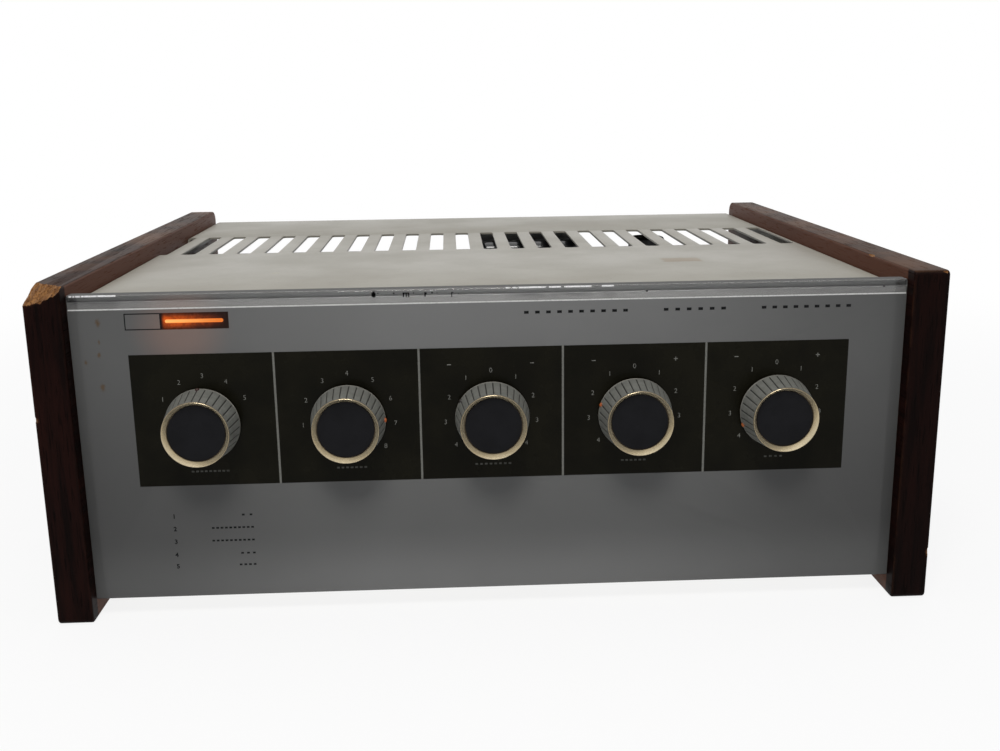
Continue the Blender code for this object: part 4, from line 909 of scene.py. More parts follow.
silver_paint, tree, shader = new_material("silver_paint", {"Emission Strength": 1.0, "Specular IOR Level": 0.12})
point = add_node(tree, "TexCoord").outputs["Object"]
x, y, z = add_node(tree, "SeparateXYZ", {0: point}).outputs
age = use_group(tree, ageing, Patch_Size=0.06, Speckle_Size=0.0008)
paint = mix_colours(tree, calculate(tree, "MULTIPLY", age["Patches"], 0.5), PAINT_GREY, tuple(c * 0.9 for c in PAINT_GREY))
# painted light and shade in the paint's colour: darker towards both ends and downwards, lighter again near the bottom
# edge, and lighter behind the clear top and on the lip
painted_shading = spread(tree, calculate(tree, "ABSOLUTE", x), 0.04, 0.175, 1.0, 0.62)  # painted shade, darker towards both ends
painted_shading = calculate(tree, "MULTIPLY", painted_shading, spread(tree, z, 0.045, 0.13, 0.7, 1.0))
painted_shading = calculate(tree, "MULTIPLY", painted_shading, spread(tree, z, 0.012, 0.04, 1.5, 1.0))
painted_clear_band_light = spread(tree, z, CLEAR_FROM - 0.0002, CLEAR_FROM, 1.0, 1.65)  # painted light, brighter behind the clear top
painted_lip_light = spread(tree, z, LIP_UNDERSIDE - 0.0004, LIP_UNDERSIDE - 0.0002, 1.0, 2.15)
painted_shading = calculate(tree, "MULTIPLY", painted_shading, calculate(tree, "MULTIPLY", painted_clear_band_light, painted_lip_light))
shade = add_node(tree, "CombineXYZ", {"X": painted_shading, "Y": painted_shading, "Z": painted_shading}).outputs[0]
paint = mix_colours(tree, 1.0, paint, shade, "MULTIPLY")
ragged = noise(tree, 700, 4, 0.6)
stained = 0.0
for stain_x, stain_z, stain_radius in STAINS:
    across = calculate(tree, "SUBTRACT", x, stain_x)
    down = calculate(tree, "MULTIPLY", calculate(tree, "SUBTRACT", z, stain_z), 0.6)
    away = calculate(tree, "SQRT", calculate(tree, "ADD", calculate(tree, "POWER", across, 2.0), calculate(tree, "POWER", down, 2.0)))
    away = calculate(tree, "ADD", away, calculate(tree, "MULTIPLY", ragged, stain_radius * 1.6))
    spot = spread(tree, away, stain_radius * 0.9, stain_radius * 2.1, 1.0, 0.0)
    stained = calculate(tree, "MAXIMUM", stained, spot)
paint = mix_colours(tree, calculate(tree, "MULTIPLY", stained, 0.75), paint, (0.085, 0.045, 0.014))
# painted glow: the paint emits a warm light near the pilot lamp
near_lamp = add_node(tree, "VectorMath", {0: point, 1: LAMP_MIDDLE}, operation="DISTANCE").outputs["Value"]
painted_lamp_glow = spread(tree, near_lamp, 0.004, 0.024, 1.0, 0.0)
feed(
    tree,
    shader,
    Base_Color=paint,
    Roughness=spread(tree, age["Patches"], 0, 1, 0.1, 0.2),
    Emission_Color=mix_colours(tree, painted_lamp_glow, (0.0, 0.0, 0.0), (0.062, 0.02, 0.007)),
    Normal=bump(tree, noise(tree, 40, 2), 0.00005, 0.2),
)

low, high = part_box("fascia_window")
top, lip = high.z, FACE_Y + LIP_DEPTH
back = FACE_Y + WINDOW_THICKNESS
outline = rounded(
    [
        (FACE_Y, low.z, CUT_RADIUS),
        (back, low.z, CUT_RADIUS / 3),
        (back, top - WINDOW_THICKNESS, CUT_RADIUS),
        (lip, top - WINDOW_THICKNESS, CUT_RADIUS),
        (lip, top, CUT_RADIUS),
        (FACE_Y, top, LIP_CORNER),
        (FACE_Y, CLEAR_FROM, 0),
    ],
    6,
)
sheet = bar_mesh("fascia_acrylic", outline, low.x, high.x, 30)
for face in sheet.polygons:
    face.material_index = 0 if face.center.z > CLEAR_FROM and face.normal.y < -0.3 else 1
window = add_piece(
    "fascia_acrylic", sheet, [clear_acrylic, silver_paint], replaces=["fascia_window"]
)
drill(window, BUSH_HOLE)
add_modifier(window, "BEVEL", width=0.0002, segments=2, limit_method="ANGLE", angle_limit=math.radians(50))
settle(window, 30)


# Printing on the window: a black strip of five dials with grey rules and figures, a row of figures
# below, and short plain dashes. It is as thin as ink, and lies under the same gloss as the paint.

PRINT_THICKNESS = 0.00006
STRIP_PROUD = 0.00003
FIGURE_PROUD = 0.00005
STRIP_SPAN = (-0.1559, 0.1554)
STRIP_HEIGHTS = (0.0614, 0.1205)
RULES_X = (-0.0947, -0.0325, 0.0299, 0.0926)
RULE_WIDTH = 0.0009

dial_black, tree, shader = new_material("dial_black", {"Specular IOR Level": 0.05})
age = use_group(tree, ageing, Patch_Size=0.02, Speckle_Size=0.0007)
worn = mix_colours(tree, age["Patches"], (0.0045, 0.0041, 0.0022), (0.008, 0.0072, 0.004))
feed(
    tree,
    shader,
    Base_Color=mix_colours(tree, calculate(tree, "MULTIPLY", age["Speckle"], 0.2), worn, (0.02, 0.018, 0.01)),
    Roughness=spread(tree, age["Patches"], 0, 1, 0.15, 0.3),
)


def print_ink(name, colour, faint, roughness=0.25):
    """Screen-printed ink, thin enough to be patchy; it also colours the painted highlight, painted shade and painted
    glints on the window.
    """
    material, tree, shader = new_material(name, {"Roughness": roughness, "Specular IOR Level": 0.08})
    thin = spread(tree, noise(tree, 1500, 3), 0.45, 0.75)
    feed(tree, shader, Base_Color=mix_colours(tree, thin, colour, faint))
    return material


rule_grey = print_ink("rule_grey", (0.16, 0.16, 0.145), (0.11, 0.11, 0.1))
figure_grey = print_ink("figure_grey", (0.23, 0.23, 0.21), (0.08, 0.08, 0.072))
caption_grey = print_ink("caption_grey", (0.07, 0.07, 0.062), (0.035, 0.035, 0.03))
black_ink = print_ink("black_ink", (0.006, 0.006, 0.0065), (0.02, 0.02, 0.021))


def printed(bm, low, high, proud, corner=0.0):
    """Adds a flat print between two (x, z) corners to bm, its face the given height above the window's face."""
    y = FACE_Y - proud
    cuboid(bm, (low[0], y, low[1]), (high[0], y + PRINT_THICKNESS, high[1]), corner, 1)


def print_piece(name, bm, ink):
    return add_piece(name, mesh_from(bm, name), [ink])


bm = bmesh.new()
printed(bm, (STRIP_SPAN[0], STRIP_HEIGHTS[0]), (STRIP_SPAN[1], STRIP_HEIGHTS[1]), STRIP_PROUD)
strip = print_piece("dial_strip", bm, dial_black)
drill(strip, BUSH_HOLE)
bm = bmesh.new()
for rule_x in RULES_X:
    printed(bm, (rule_x - RULE_WIDTH / 2, STRIP_HEIGHTS[0]), (rule_x + RULE_WIDTH / 2, STRIP_HEIGHTS[1]), FIGURE_PROUD)
print_piece("dial_rules", bm, rule_grey)

# a painted highlight along the paint's upper edge
HIGHLIGHT_LINE = (0.1401, 0.1407)
bm = bmesh.new()
printed(bm, (low.x + 0.0004, HIGHLIGHT_LINE[0]), (high.x - 0.0004, HIGHLIGHT_LINE[1]), STRIP_PROUD)
print_piece("painted_edge_highlight", bm, print_ink("edge_highlight_silver", (0.6, 0.6, 0.585), (0.4, 0.4, 0.39)))

# painted shade on the lip's top, painted glints along its front edge as x and length, and flecks
# where the paint is lost to black as x, width and heights
PAINTED_GLINTS = (
    (-0.1785, 0.0013), (-0.1768, 0.0008), (-0.1757, 0.0021), (-0.1732, 0.0011), (-0.1719, 0.0052), (-0.1664, 0.0075),
    (0.0054, 0.0018), (0.0084, 0.0014), (0.0110, 0.0117), (0.0240, 0.0052), (0.0305, 0.0117), (0.0466, 0.0052),
)
FLECKS = (
    (-0.0517, 0.0018, 0.1435, 0.1453), (-0.0512, 0.0009, 0.1432, 0.1458), (-0.0491, 0.0004, 0.1447, 0.1452), (-0.0426, 0.0007, 0.1445, 0.1451),
    (-0.0385, 0.0026, 0.1445, 0.1451), (-0.0384, 0.0006, 0.1432, 0.1451), (-0.0372, 0.0005, 0.1430, 0.1446), (-0.0362, 0.0006, 0.1431, 0.1450),
    (-0.0340, 0.0004, 0.1446, 0.1451), (-0.0293, 0.0007, 0.1432, 0.1451), (-0.0288, 0.0006, 0.1442, 0.1450), (-0.0263, 0.0007, 0.1445, 0.1451),
    (-0.0240, 0.0003, 0.1445, 0.1449), (-0.0178, 0.0004, 0.1427, 0.1449), (-0.0178, 0.0010, 0.1446, 0.1449), (-0.0148, 0.0003, 0.1440, 0.1443),
    (-0.0125, 0.0003, 0.1436, 0.1440), (0.0657, 0.0009, 0.1433, 0.1439), (0.1690, 0.0008, 0.1433, 0.1439),
)
bm = bmesh.new()
# painted shade: a dark strip over the lip's top, for the dark line along its rear
cuboid(bm, (low.x + 0.0004, FACE_Y + LIP_CORNER, top - 0.0006), (high.x - 0.0004, lip + 0.00002, top + PRINT_THICKNESS / 2), 0.00002, 1)
print_piece("lip_painted_shade", bm, print_ink("lip_shade_grey", (0.12, 0.12, 0.117), (0.17, 0.17, 0.165), 0.95))
bm = bmesh.new()
# painted glints: pale strips along the lip's front edge where the light catches it
for from_x, length in PAINTED_GLINTS:
    cuboid(bm, (from_x, FACE_Y - STRIP_PROUD, top - LIP_CORNER * 0.7), (from_x + length, FACE_Y + LIP_CORNER * 0.7, top + PRINT_THICKNESS), 0.0002, 2)
print_piece("edge_painted_glints", bm, print_ink("glint_white", (0.9, 0.9, 0.9), (0.45, 0.45, 0.45)))
bm = bmesh.new()
for from_x, width, from_z, to_z in FLECKS:
    printed(bm, (from_x, from_z), (from_x + width, to_z), STRIP_PROUD)
print_piece("edge_flecks", bm, black_ink)

FIGURE_HEIGHT = 0.0021
DIAL_RADIUS = 0.0202
DIAL_CENTRES = {"selector": (-0.1255, 0.0906), "volume": (-0.0635, 0.0903), "balance": (-0.0015, 0.0901), "treble": (0.0613, 0.0905), "bass": (0.1240, 0.0908)}
SIGN_RADIUS = 0.0292
SIGN_SIZE = (0.0017, 0.0003)


def add_figure(bm, figure, x, z, height, thin=0.0):
    """Adds a figure in a plain typeface to bm, centred on (x, z)."""
    curve = bpy.data.curves.new("figure", "FONT")
    curve.body = figure
    curve.size = height / 0.7
    curve.align_x, curve.align_y = "CENTER", "CENTER"
    curve.extrude = PRINT_THICKNESS / 2
    curve.offset = -thin
    curve.resolution_u = 6
    letter = bpy.data.objects.new("figure", curve)
    bpy.context.scene.collection.objects.link(letter)
    bpy.context.view_layer.update()
    mesh = bpy.data.meshes.new_from_object(letter.evaluated_get(bpy.context.evaluated_depsgraph_get()))
    bpy.data.objects.remove(letter)
    middle = sum((v.co for v in mesh.vertices), Vector()) / len(mesh.vertices)
    low_y, high_y = min(v.co.y for v in mesh.vertices), max(v.co.y for v in mesh.vertices)
    shift = Matrix.Translation((-middle.x, -(low_y + high_y) / 2, 0))
    y = FACE_Y - FIGURE_PROUD + PRINT_THICKNESS / 2
    mesh.transform(Matrix.Translation((x, y, z)) @ Matrix.Rotation(math.pi / 2, 4, "X") @ shift)
    bm.from_mesh(mesh)
    bpy.data.meshes.remove(mesh)


def add_sign(bm, x, z, upright=False):
    """Adds a minus sign to bm, or a plus sign if it also has its upright stroke."""
    for width, height in [SIGN_SIZE] + ([SIGN_SIZE[::-1]] if upright else []):
        printed(bm, (x - width / 2, z - height / 2), (x + width / 2, z + height / 2), FIGURE_PROUD)


TONE = [(str(abs(n)), n * 32.5) for n in range(-4, 4)]
DIALS = {
    "selector": [(str(n + 1), -60 + 30 * n) for n in range(5)],
    "volume": [(str(n + 1), -97.5 + 32.5 * n) for n in range(8)],
    "balance": [(str(abs(n)), n * 32.5) for n in range(-4, 5)],
    "treble": TONE,
    "bass": TONE,
}
for name, figures in DIALS.items():
    bm = bmesh.new()
    x, z = DIAL_CENTRES[name]
    for figure, degrees in figures:
        a = math.radians(degrees)
        add_figure(bm, figure, x + DIAL_RADIUS * math.sin(a), z + DIAL_RADIUS * math.cos(a), FIGURE_HEIGHT, thin=0.00004)
    if name in ("balance", "treble", "bass"):
        for side in (-1, 1):
            a = math.radians(38 * side)
            add_sign(bm, x + SIGN_RADIUS * math.sin(a), z + SIGN_RADIUS * math.cos(a), name != "balance" and side > 0)
    print_piece(name + "_figures", bm, figure_grey)

# the row of figures below the dials, with a row of dashes beside each
LEGEND_X = -0.1424
LEGEND_ROWS = ((0.0472, -0.1127, -0.1081), (0.0413, -0.1263, -0.1078), (0.0353, -0.1265, -0.1078), (0.0291, -0.1142, -0.1078), (0.0236, -0.1152, -0.1078))
DASH = (0.0012, 0.0008)
DASH_PITCH = 0.0019
TITLE_Z = 0.1354
TITLE_SPANS = ((0.0132, 0.0580, 10), (0.0736, 0.1006, 6), (0.1163, 0.1554, 9))
TITLE_DASH = (0.002, 0.0012)
CAPTION_Z = 0.0678
CAPTIONS = {"selector": (-0.1331, -0.1167), "volume": (-0.0698, -0.0566), "balance": (-0.0089, 0.0070), "treble": (0.0558, 0.0668), "bass": (0.1200, 0.1282)}


def add_dashes(bm, from_x, to_x, z, dash, count):
    """A row of short dashes, evenly spread between two places."""
    for k in range(count):
        x = from_x + dash[0] / 2 + (to_x - from_x - dash[0]) * k / max(count - 1, 1)
        printed(bm, (x - dash[0] / 2, z - dash[1] / 2), (x + dash[0] / 2, z + dash[1] / 2), FIGURE_PROUD)


bm = bmesh.new()
for row, (z, from_x, to_x) in enumerate(LEGEND_ROWS):
    add_figure(bm, str(row + 1), LEGEND_X, z, 0.002, thin=-0.00008)
    add_dashes(bm, from_x, to_x, z, DASH, max(2, round((to_x - from_x) / DASH_PITCH)))
print_piece("legend", bm, black_ink)
bm = bmesh.new()
for from_x, to_x, count in TITLE_SPANS:
    add_dashes(bm, from_x, to_x, TITLE_Z, TITLE_DASH, count)
print_piece("title_dashes", bm, black_ink)
bm = bmesh.new()
for name, (from_x, to_x) in CAPTIONS.items():
    add_dashes(bm, from_x, to_x, CAPTION_Z, DASH, round((to_x - from_x) / DASH_PITCH))
print_piece("dial_captions", bm, caption_grey)

# the lamp's opening: a translucent brown field with one soft bar of light, and a bare box beside it
LAMP_OPENING = ((-0.1410, 0.1313), (-0.1125, 0.1385))
BADGE_BOX = ((-0.1563, 0.1313), (-0.1410, 0.1385))
BADGE_LINE = 0.00045
BAR_LOW, BAR_HIGH = (-0.1392, 0.1341), (-0.1147, 0.1357)

brown_film, tree, shader = new_material("brown_film", {"Emission Strength": 1.0, "Specular IOR Level": 0.1})
x, y, z = add_node(tree, "SeparateXYZ", {0: add_node(tree, "TexCoord").outputs["Object"]}).outputs
heat = spread(tree, x, GLOW_ZONE[0], GLOW_ZONE[1], 1.0, 0.0)
off_middle = calculate(tree, "ABSOLUTE", calculate(tree, "SUBTRACT", z, (BAR_LOW[1] + BAR_HIGH[1]) / 2))
halo = calculate(tree, "MULTIPLY", heat, spread(tree, off_middle, 0.0008, 0.0034, 1.0, 0.12))
halo = calculate(tree, "MULTIPLY", halo, spread(tree, x, -0.1408, -0.1392))
cloud = noise(tree, 420, 3)
halo = calculate(tree, "MULTIPLY", halo, spread(tree, cloud, 0.35, 0.6, 0.55, 1.0))
feed(
    tree,
    shader,
    Base_Color=mix_colours(tree, cloud, (0.012, 0.005, 0.003), (0.007, 0.003, 0.002)),
    Roughness=spread(tree, cloud, 0.3, 0.7, 0.2, 0.3),
    Emission_Color=mix_colours(tree, halo, (0.004, 0.001, 0.0005), (0.62, 0.085, 0.004)),
)
bright_bar, tree, shader = new_material("bright_bar", {"Emission Strength": 1.0, "Specular IOR Level": 0.1})
x, y, z = add_node(tree, "SeparateXYZ", {0: add_node(tree, "TexCoord").outputs["Object"]}).outputs
heat = spread(tree, x, GLOW_ZONE[0], GLOW_ZONE[1], 1.0, 0.0)
off_middle = calculate(tree, "ABSOLUTE", calculate(tree, "SUBTRACT", z, (BAR_LOW[1] + BAR_HIGH[1]) / 2))
core = spread(tree, off_middle, 0.0001, 0.0008, 1.0, 0.45)
orange = mix_colours(tree, heat, (0.55, 0.13, 0.015), (1.0, 0.5, 0.14))
feed(
    tree,
    shader,
    Base_Color=mix_colours(tree, noise(tree, 260), (0.3, 0.09, 0.02), (0.2, 0.05, 0.01)),
    Roughness=spread(tree, noise(tree, 500), 0.3, 0.7, 0.2, 0.3),
    Emission_Color=mix_colours(tree, core, (0.8, 0.13, 0.006), orange),
)
bm = bmesh.new()
printed(bm, *LAMP_OPENING, STRIP_PROUD)
add_piece("lamp_film", mesh_from(bm, "lamp_film"), [brown_film])
bm = bmesh.new()
printed(bm, BAR_LOW, BAR_HIGH, FIGURE_PROUD, corner=0.00075)
add_piece("lamp_bar", mesh_from(bm, "lamp_bar"), [bright_bar])
bm = bmesh.new()
(from_x, from_z), (to_x, to_z) = BADGE_BOX
for low_corner, high_corner in (
    ((from_x, from_z), (to_x, from_z + BADGE_LINE)),
    ((from_x, to_z - BADGE_LINE), (to_x, to_z)),
    ((from_x, from_z + BADGE_LINE), (from_x + BADGE_LINE, to_z - BADGE_LINE)),
    ((to_x - BADGE_LINE, from_z + BADGE_LINE), (to_x, to_z - BADGE_LINE)),
):
    printed(bm, low_corner, high_corner, FIGURE_PROUD)
print_piece("badge_outline", bm, black_ink)


# Knobs. Each is turned from aluminium bar: thirty fine grooves down a slightly tapered flank, a plain
# band at the skirt, and a bright chamfer with a pale gilt tint running in to a recessed dark disc.

STANDOFF, LENGTH = 0.0015, 0.0157
SKIRT_RADIUS, FRONT_RADIUS, FACE_RADIUS = 0.01627, 0.0142, 0.0123
BAND, RIM = 0.0008, 0.0011
FLUTES, FLUTE_DEPTH, FLUTE_SHARE = 30, 0.0005, 0.11
FUNNEL_DEPTH = 0.0024
LIP = 0.00012
BORE, BORE_DEPTH = 0.0035, 0.008
DISC_THICKNESS = 0.0007
PIP_RADIUS, PIP_PROUD = 0.0010, 0.0007
PIP_COLOURS = {"selector": (0.03, 0.006, 0.003), "volume": (0.5, 0.11, 0.02), "balance": (0.01, 0.006, 0.005), "treble": (0.42, 0.1, 0.02), "bass": (0.42, 0.11, 0.02)}

front, slope = STANDOFF + LENGTH, (SKIRT_RADIUS - FRONT_RADIUS) / LENGTH
seat = front - FUNNEL_DEPTH


def cone_radius(height):
    return SKIRT_RADIUS - slope * (height - STANDOFF)


def flute(angle, radius, height):
    """Depth of the grooves at a point of the flank: narrow, and run out at both ends."""
    start, end = STANDOFF + BAND, front - RIM
    if not start < height < end or radius < FACE_RADIUS + 0.001:
        return 0.0
    runout = min(1.0, (height - start) / 0.0005, (end - height) / 0.0005)
    turn = (angle * FLUTES / (2 * math.pi)) % 1.0
    off = abs(turn - 0.5)
    return FLUTE_DEPTH * runout * max(0.0, 1 - (off / FLUTE_SHARE) ** 2)


heights = [front - RIM * 0.7, front - RIM, front - RIM - 0.0003, front - RIM - 0.0008]
heights += [STANDOFF + BAND + (front - RIM - 0.0008 - STANDOFF - BAND) * k / 6 for k in range(5, 0, -1)]
heights += [STANDOFF + BAND + 0.0006, STANDOFF + BAND + 0.0002, STANDOFF + BAND]
profile = [
    (0, seat - DISC_THICKNESS, 1),
    (FACE_RADIUS, seat - DISC_THICKNESS, 1),
    (FACE_RADIUS, seat - 0.0002, 1),
    (FACE_RADIUS + 0.00015, seat, 1),
    (FRONT_RADIUS - 2.2 * LIP, front - 0.8 * LIP, 1),
    (FRONT_RADIUS - 1.5 * LIP, front, 1),
    (FRONT_RADIUS - LIP * 0.3, front - 0.7 * LIP, 1),
    (cone_radius(front - 2 * LIP), front - 2 * LIP, 1),
    (cone_radius(front - RIM * 0.45), front - RIM * 0.45, 0),
]
profile += [(cone_radius(z), z, 0) for z in heights]
profile[-1] = (profile[-1][0], profile[-1][1], 2)
profile += [
    (cone_radius(STANDOFF + 0.0003), STANDOFF + 0.0003, 2),
    (SKIRT_RADIUS - 0.0001, STANDOFF + 0.0001, 2),
    (SKIRT_RADIUS - 0.0004, STANDOFF, 0),
    (SKIRT_RADIUS - 0.0022, STANDOFF, 0),
    (SKIRT_RADIUS - 0.0026, STANDOFF + 0.0012, 0),
    (0.0062, STANDOFF + 0.0012, 0),
    (0.0058, STANDOFF, 0),
    (BORE, STANDOFF, 0),
    (BORE, STANDOFF + BORE_DEPTH, 0),
    (0, STANDOFF + BORE_DEPTH, 0),
]


def grooved_flank(name, colour, groove):
    """Grey satin anodising with painted shade in the grooves: the deeper the point, the darker."""
    material, tree, shader = new_material(name, {"Specular IOR Level": 0.3})
    point = add_node(tree, "TexCoord").outputs["Object"]
    flat = add_node(tree, "VectorMath", {0: point, 1: (1.0, 1.0, 0.0)}, operation="MULTIPLY").outputs[0]
    radius = add_node(tree, "VectorMath", {0: flat}, operation="LENGTH").outputs["Value"]
    height = add_node(tree, "SeparateXYZ", {0: point}).outputs["Z"]
    full = calculate(tree, "SUBTRACT", SKIRT_RADIUS + slope * STANDOFF, calculate(tree, "MULTIPLY", height, slope))
    depth = calculate(tree, "SUBTRACT", full, radius)
    # painted shade: the deeper the point in a groove, the darker
    groove_shade = spread(tree, depth, 0.00006, 0.0003)
    age = use_group(tree, ageing, Patch_Size=0.003, Speckle_Size=0.0005)
    land = mix_colours(tree, age["Patches"], colour, tuple(c * 0.8 for c in colour))
    feed(
        tree,
        shader,
        Base_Color=mix_colours(tree, groove_shade, land, groove),
        Metallic=spread(tree, groove_shade, 0, 1, 0.15, 0.0),
        Roughness=spread(tree, groove_shade, 0, 1, 0.45, 0.7),
        Normal=bump(tree, noise(tree, 2500, 2), 0.00001, 0.3),
    )
    return material


satin_flank = grooved_flank("satin_flank", (0.208, 0.21, 0.19), (0.035, 0.034, 0.03))
gilt_rim = brushed_aluminium(
    "gilt_rim", (0.7, 0.6, 0.41), 0.23, 0.75, ((0.13, 0.085, 0.04), FACE_RADIUS, FRONT_RADIUS + 0.0001, 0.00045)
)
skirt_band = moulded("skirt_band", (0.42, 0.4, 0.35), 0.4, 1500)
disc_grey = moulded("disc_grey", (0.0075, 0.0076, 0.0092), 0.35, 1200, 0.08)

knob_mesh = turned_mesh("knob", profile, FLUTES * 10, flute=flute, sharp=40)
disc_profile = [(FACE_RADIUS * 0.97 * k / 10, seat - 0.00035 + 0.0003 * (k / 10) ** 2, 0) for k in range(11)]
disc_profile += [(FACE_RADIUS - 0.00015, seat - 0.0001, 0), (FACE_RADIUS - 0.00008, seat - DISC_THICKNESS + 0.0001, 0), (0, seat - DISC_THICKNESS + 0.0001, 0)]
disc_mesh = turned_mesh("knob_disc", disc_profile, 96)
dome = [(PIP_RADIUS * math.sin(a), PIP_PROUD * math.cos(a), 0) for a in (math.pi / 2 * k / 6 for k in range(7))]
pip_mesh = turned_mesh("pip", dome + [(PIP_RADIUS, -0.001, 0), (0, -0.001, 0)], 24)

for name in CONTROLS:
    place = axes[name]
    turn = (FORWARD[0], math.radians(POINTERS[name]), 0)
    add_piece(
        name + "_knob_shell", knob_mesh, [satin_flank, gilt_rim, skirt_band], body=name, place=place, turn=turn,
        replaces=[name + "_knob"],
    )
    add_piece(
        name + "_knob_inlay", disc_mesh, [disc_grey], body=name, place=place, turn=turn,
        replaces=[name + "_knob_disc"],
    )
    a = math.radians(POINTERS[name])
    reach = cone_radius(STANDOFF + 0.0014)
    spot = place + Vector((reach * math.sin(a), -STANDOFF - 0.0014, reach * math.cos(a)))
    pip = moulded(name + "_pip_paint", PIP_COLOURS[name], 0.35, 1500)
    add_piece(name + "_pip", pip_mesh.copy(), [pip], body=name, place=spot, turn=(0, a, 0))


# Base plate. Zinc-plated sheet with two rows of air slots, held up to the chassis by six screws.

BASE_SCREW_INSET = (0.012, 0.014)
finish_nodes(zinc_plate, "base_plate")
low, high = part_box("base_plate")
reach_x, reach_y = (high.x - low.x) / 2 - BASE_SCREW_INSET[0], (high.y - low.y) / 2 - BASE_SCREW_INSET[1]
for i, (side, end) in enumerate((s, e) for s in (-1, 0, 1) for e in (-1, 1)):
    place = ((low.x + high.x) / 2 + side * reach_x, (low.y + high.y) / 2 + end * reach_y, low.z)
    add_piece("base_screw_%d" % (i + 1), case_screw, [nickel_plate], place=place, turn=(math.pi, 0, 0.5 * i))


# Top cover. Steel folded down at both sides and the back, punched with a row of long air slots and
# sprayed warm grey. Tape has left a tan patch near the right front.

SHEET = 0.0012
FOLD_RADIUS = 0.0022
SLOT_PITCH, SLOT_WIDTH, SLOT_RADIUS = 0.0152, 0.0078, 0.0021
SLOT_INSET = 0.0077
SLOT_SPAN = (-0.00085, 0.07865)
PATCH_MIDDLE, PATCH_HALF = (0.1, -0.0575), (0.0105, 0.0075)
COVER_COLOUR = (0.3, 0.284, 0.24)

beige_paint, tree, shader = sprayed_paint("beige_paint", COVER_COLOUR, (0.36, 0.35, 0.32), 0.34, 750, 0.35, rub=0.5)
x, y, z = add_node(tree, "SeparateXYZ", {0: add_node(tree, "TexCoord").outputs["Object"]}).outputs
ragged = calculate(tree, "MULTIPLY", noise(tree, 260, 4), 0.004)
side_x = calculate(tree, "ADD", calculate(tree, "ABSOLUTE", calculate(tree, "SUBTRACT", x, PATCH_MIDDLE[0])), ragged)
side_y = calculate(tree, "ADD", calculate(tree, "ABSOLUTE", calculate(tree, "SUBTRACT", y, PATCH_MIDDLE[1])), ragged)
patch = calculate(
    tree,
    "MULTIPLY",
    spread(tree, side_x, PATCH_HALF[0], PATCH_HALF[0] + 0.0025, 1.0, 0.0),
    spread(tree, side_y, PATCH_HALF[1], PATCH_HALF[1] + 0.0025, 1.0, 0.0),
)
plain = shader.inputs["Base Color"].links[0].from_socket
feed(tree, shader, Base_Color=mix_colours(tree, calculate(tree, "MULTIPLY", patch, 0.65), plain, (0.19, 0.135, 0.07)))

low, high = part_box("top_cover")
half = Vector((SHEET, SHEET, SHEET)) / 2
inner_low, inner_high = low + half, high - half
inner_low.z, inner_low.y = low.z, low.y
bm = bmesh.new()
cuboid(bm, inner_low, inner_high)
bm.normal_update()
bmesh.ops.delete(bm, geom=[f for f in bm.faces if f.normal.z < -0.5 or f.normal.y < -0.5], context="FACES")
folds = [e for e in bm.edges if len(e.link_faces) == 2]
bmesh.ops.bevel(bm, geom=folds, offset=FOLD_RADIUS, segments=7, affect="EDGES", profile=0.5)
cover = add_piece("painted_cover", mesh_from(bm, "painted_cover"), [beige_paint], replaces=["top_cover"])
add_modifier(cover, "SOLIDIFY", thickness=SHEET, offset=0, use_even_offset=True)
bm = bmesh.new()
for i in range(1 + int((high.x - low.x - SLOT_INSET) / SLOT_PITCH)):
    middle = high.x - SLOT_INSET - i * SLOT_PITCH
    cuboid(bm, (middle - SLOT_WIDTH / 2, SLOT_SPAN[0], high.z - 0.004), (middle + SLOT_WIDTH / 2, SLOT_SPAN[1], high.z + 0.004), SLOT_RADIUS)
punch = bpy.data.objects.new("punch", mesh_from(bm, "punch"))
bpy.context.scene.collection.objects.link(punch)
add_modifier(cover, "BOOLEAN", object=punch, operation="DIFFERENCE", solver="EXACT")
settle(cover)
bpy.data.objects.remove(punch)
add_modifier(cover, "BEVEL", width=0.00018, segments=2, limit_method="ANGLE", angle_limit=math.radians(50))
settle(cover)
bm = bmesh.new()  # a short fleck of cream paint on it
cuboid(bm, (-0.1049, -0.0772, high.z - 0.0001), (-0.1017, -0.0758, high.z + 0.00005), 0.0003, 1)
add_piece("paint_fleck", mesh_from(bm, "paint_fleck"), [print_ink("fleck_cream", (0.62, 0.6, 0.47), (0.5, 0.48, 0.38))])


# Side panels. Boards veneered in dark walnut on every face, oiled, and rubbed pale along their edges.
# The left one has lost a chip at its top front corner, where bare wood shows.

BOARD_BOTTOM_RADIUS, BOARD_TOP_RADIUS, BOARD_REAR_RADIUS = 0.0025, 0.0022, 0.007
BOARD_EDGE = 0.0011

# Wood figure: streaks drawn out along the grain, which runs along Y but stands upright on the ends
wood_figure, given, result = start_group("wood_figure", {"Streak Size": 0.004, "Pore Size": 0.0006}, ["Streaks", "Pores", "Broad"])
point = add_node(wood_figure, "TexCoord").outputs["Object"]
facing = calculate(wood_figure, "ABSOLUTE", add_node(wood_figure, "SeparateXYZ", {0: add_node(wood_figure, "NewGeometry").outputs["True Normal"]}).outputs["Y"])
on_end = calculate(wood_figure, "GREATER_THAN", facing, 0.7)
lengthwise = add_node(wood_figure, "VectorMath", {0: point, 1: (1.0, 0.05, 1.0)}, operation="MULTIPLY").outputs[0]
upright = add_node(wood_figure, "VectorMath", {0: point, 1: (1.0, 1.0, 0.07)}, operation="MULTIPLY").outputs[0]
grain = add_node(wood_figure, "Mix", {0: on_end, 4: lengthwise, 5: upright}, data_type="VECTOR").outputs[1]
streaks = noise(wood_figure, calculate(wood_figure, "DIVIDE", 1.0, given["Streak Size"]), 5, 0.6, grain, 0.6)
pores = noise(wood_figure, calculate(wood_figure, "DIVIDE", 1.0, given["Pore Size"]), 2, 0.5, grain)
broad = noise(wood_figure, 22.0, 3, 0.5, grain, 1.2)
wood_figure.links.new(spread(wood_figure, streaks, 0.33, 0.68), result["Streaks"])
wood_figure.links.new(spread(wood_figure, pores, 0.56, 0.68), result["Pores"])
wood_figure.links.new(spread(wood_figure, broad, 0.35, 0.65), result["Broad"])


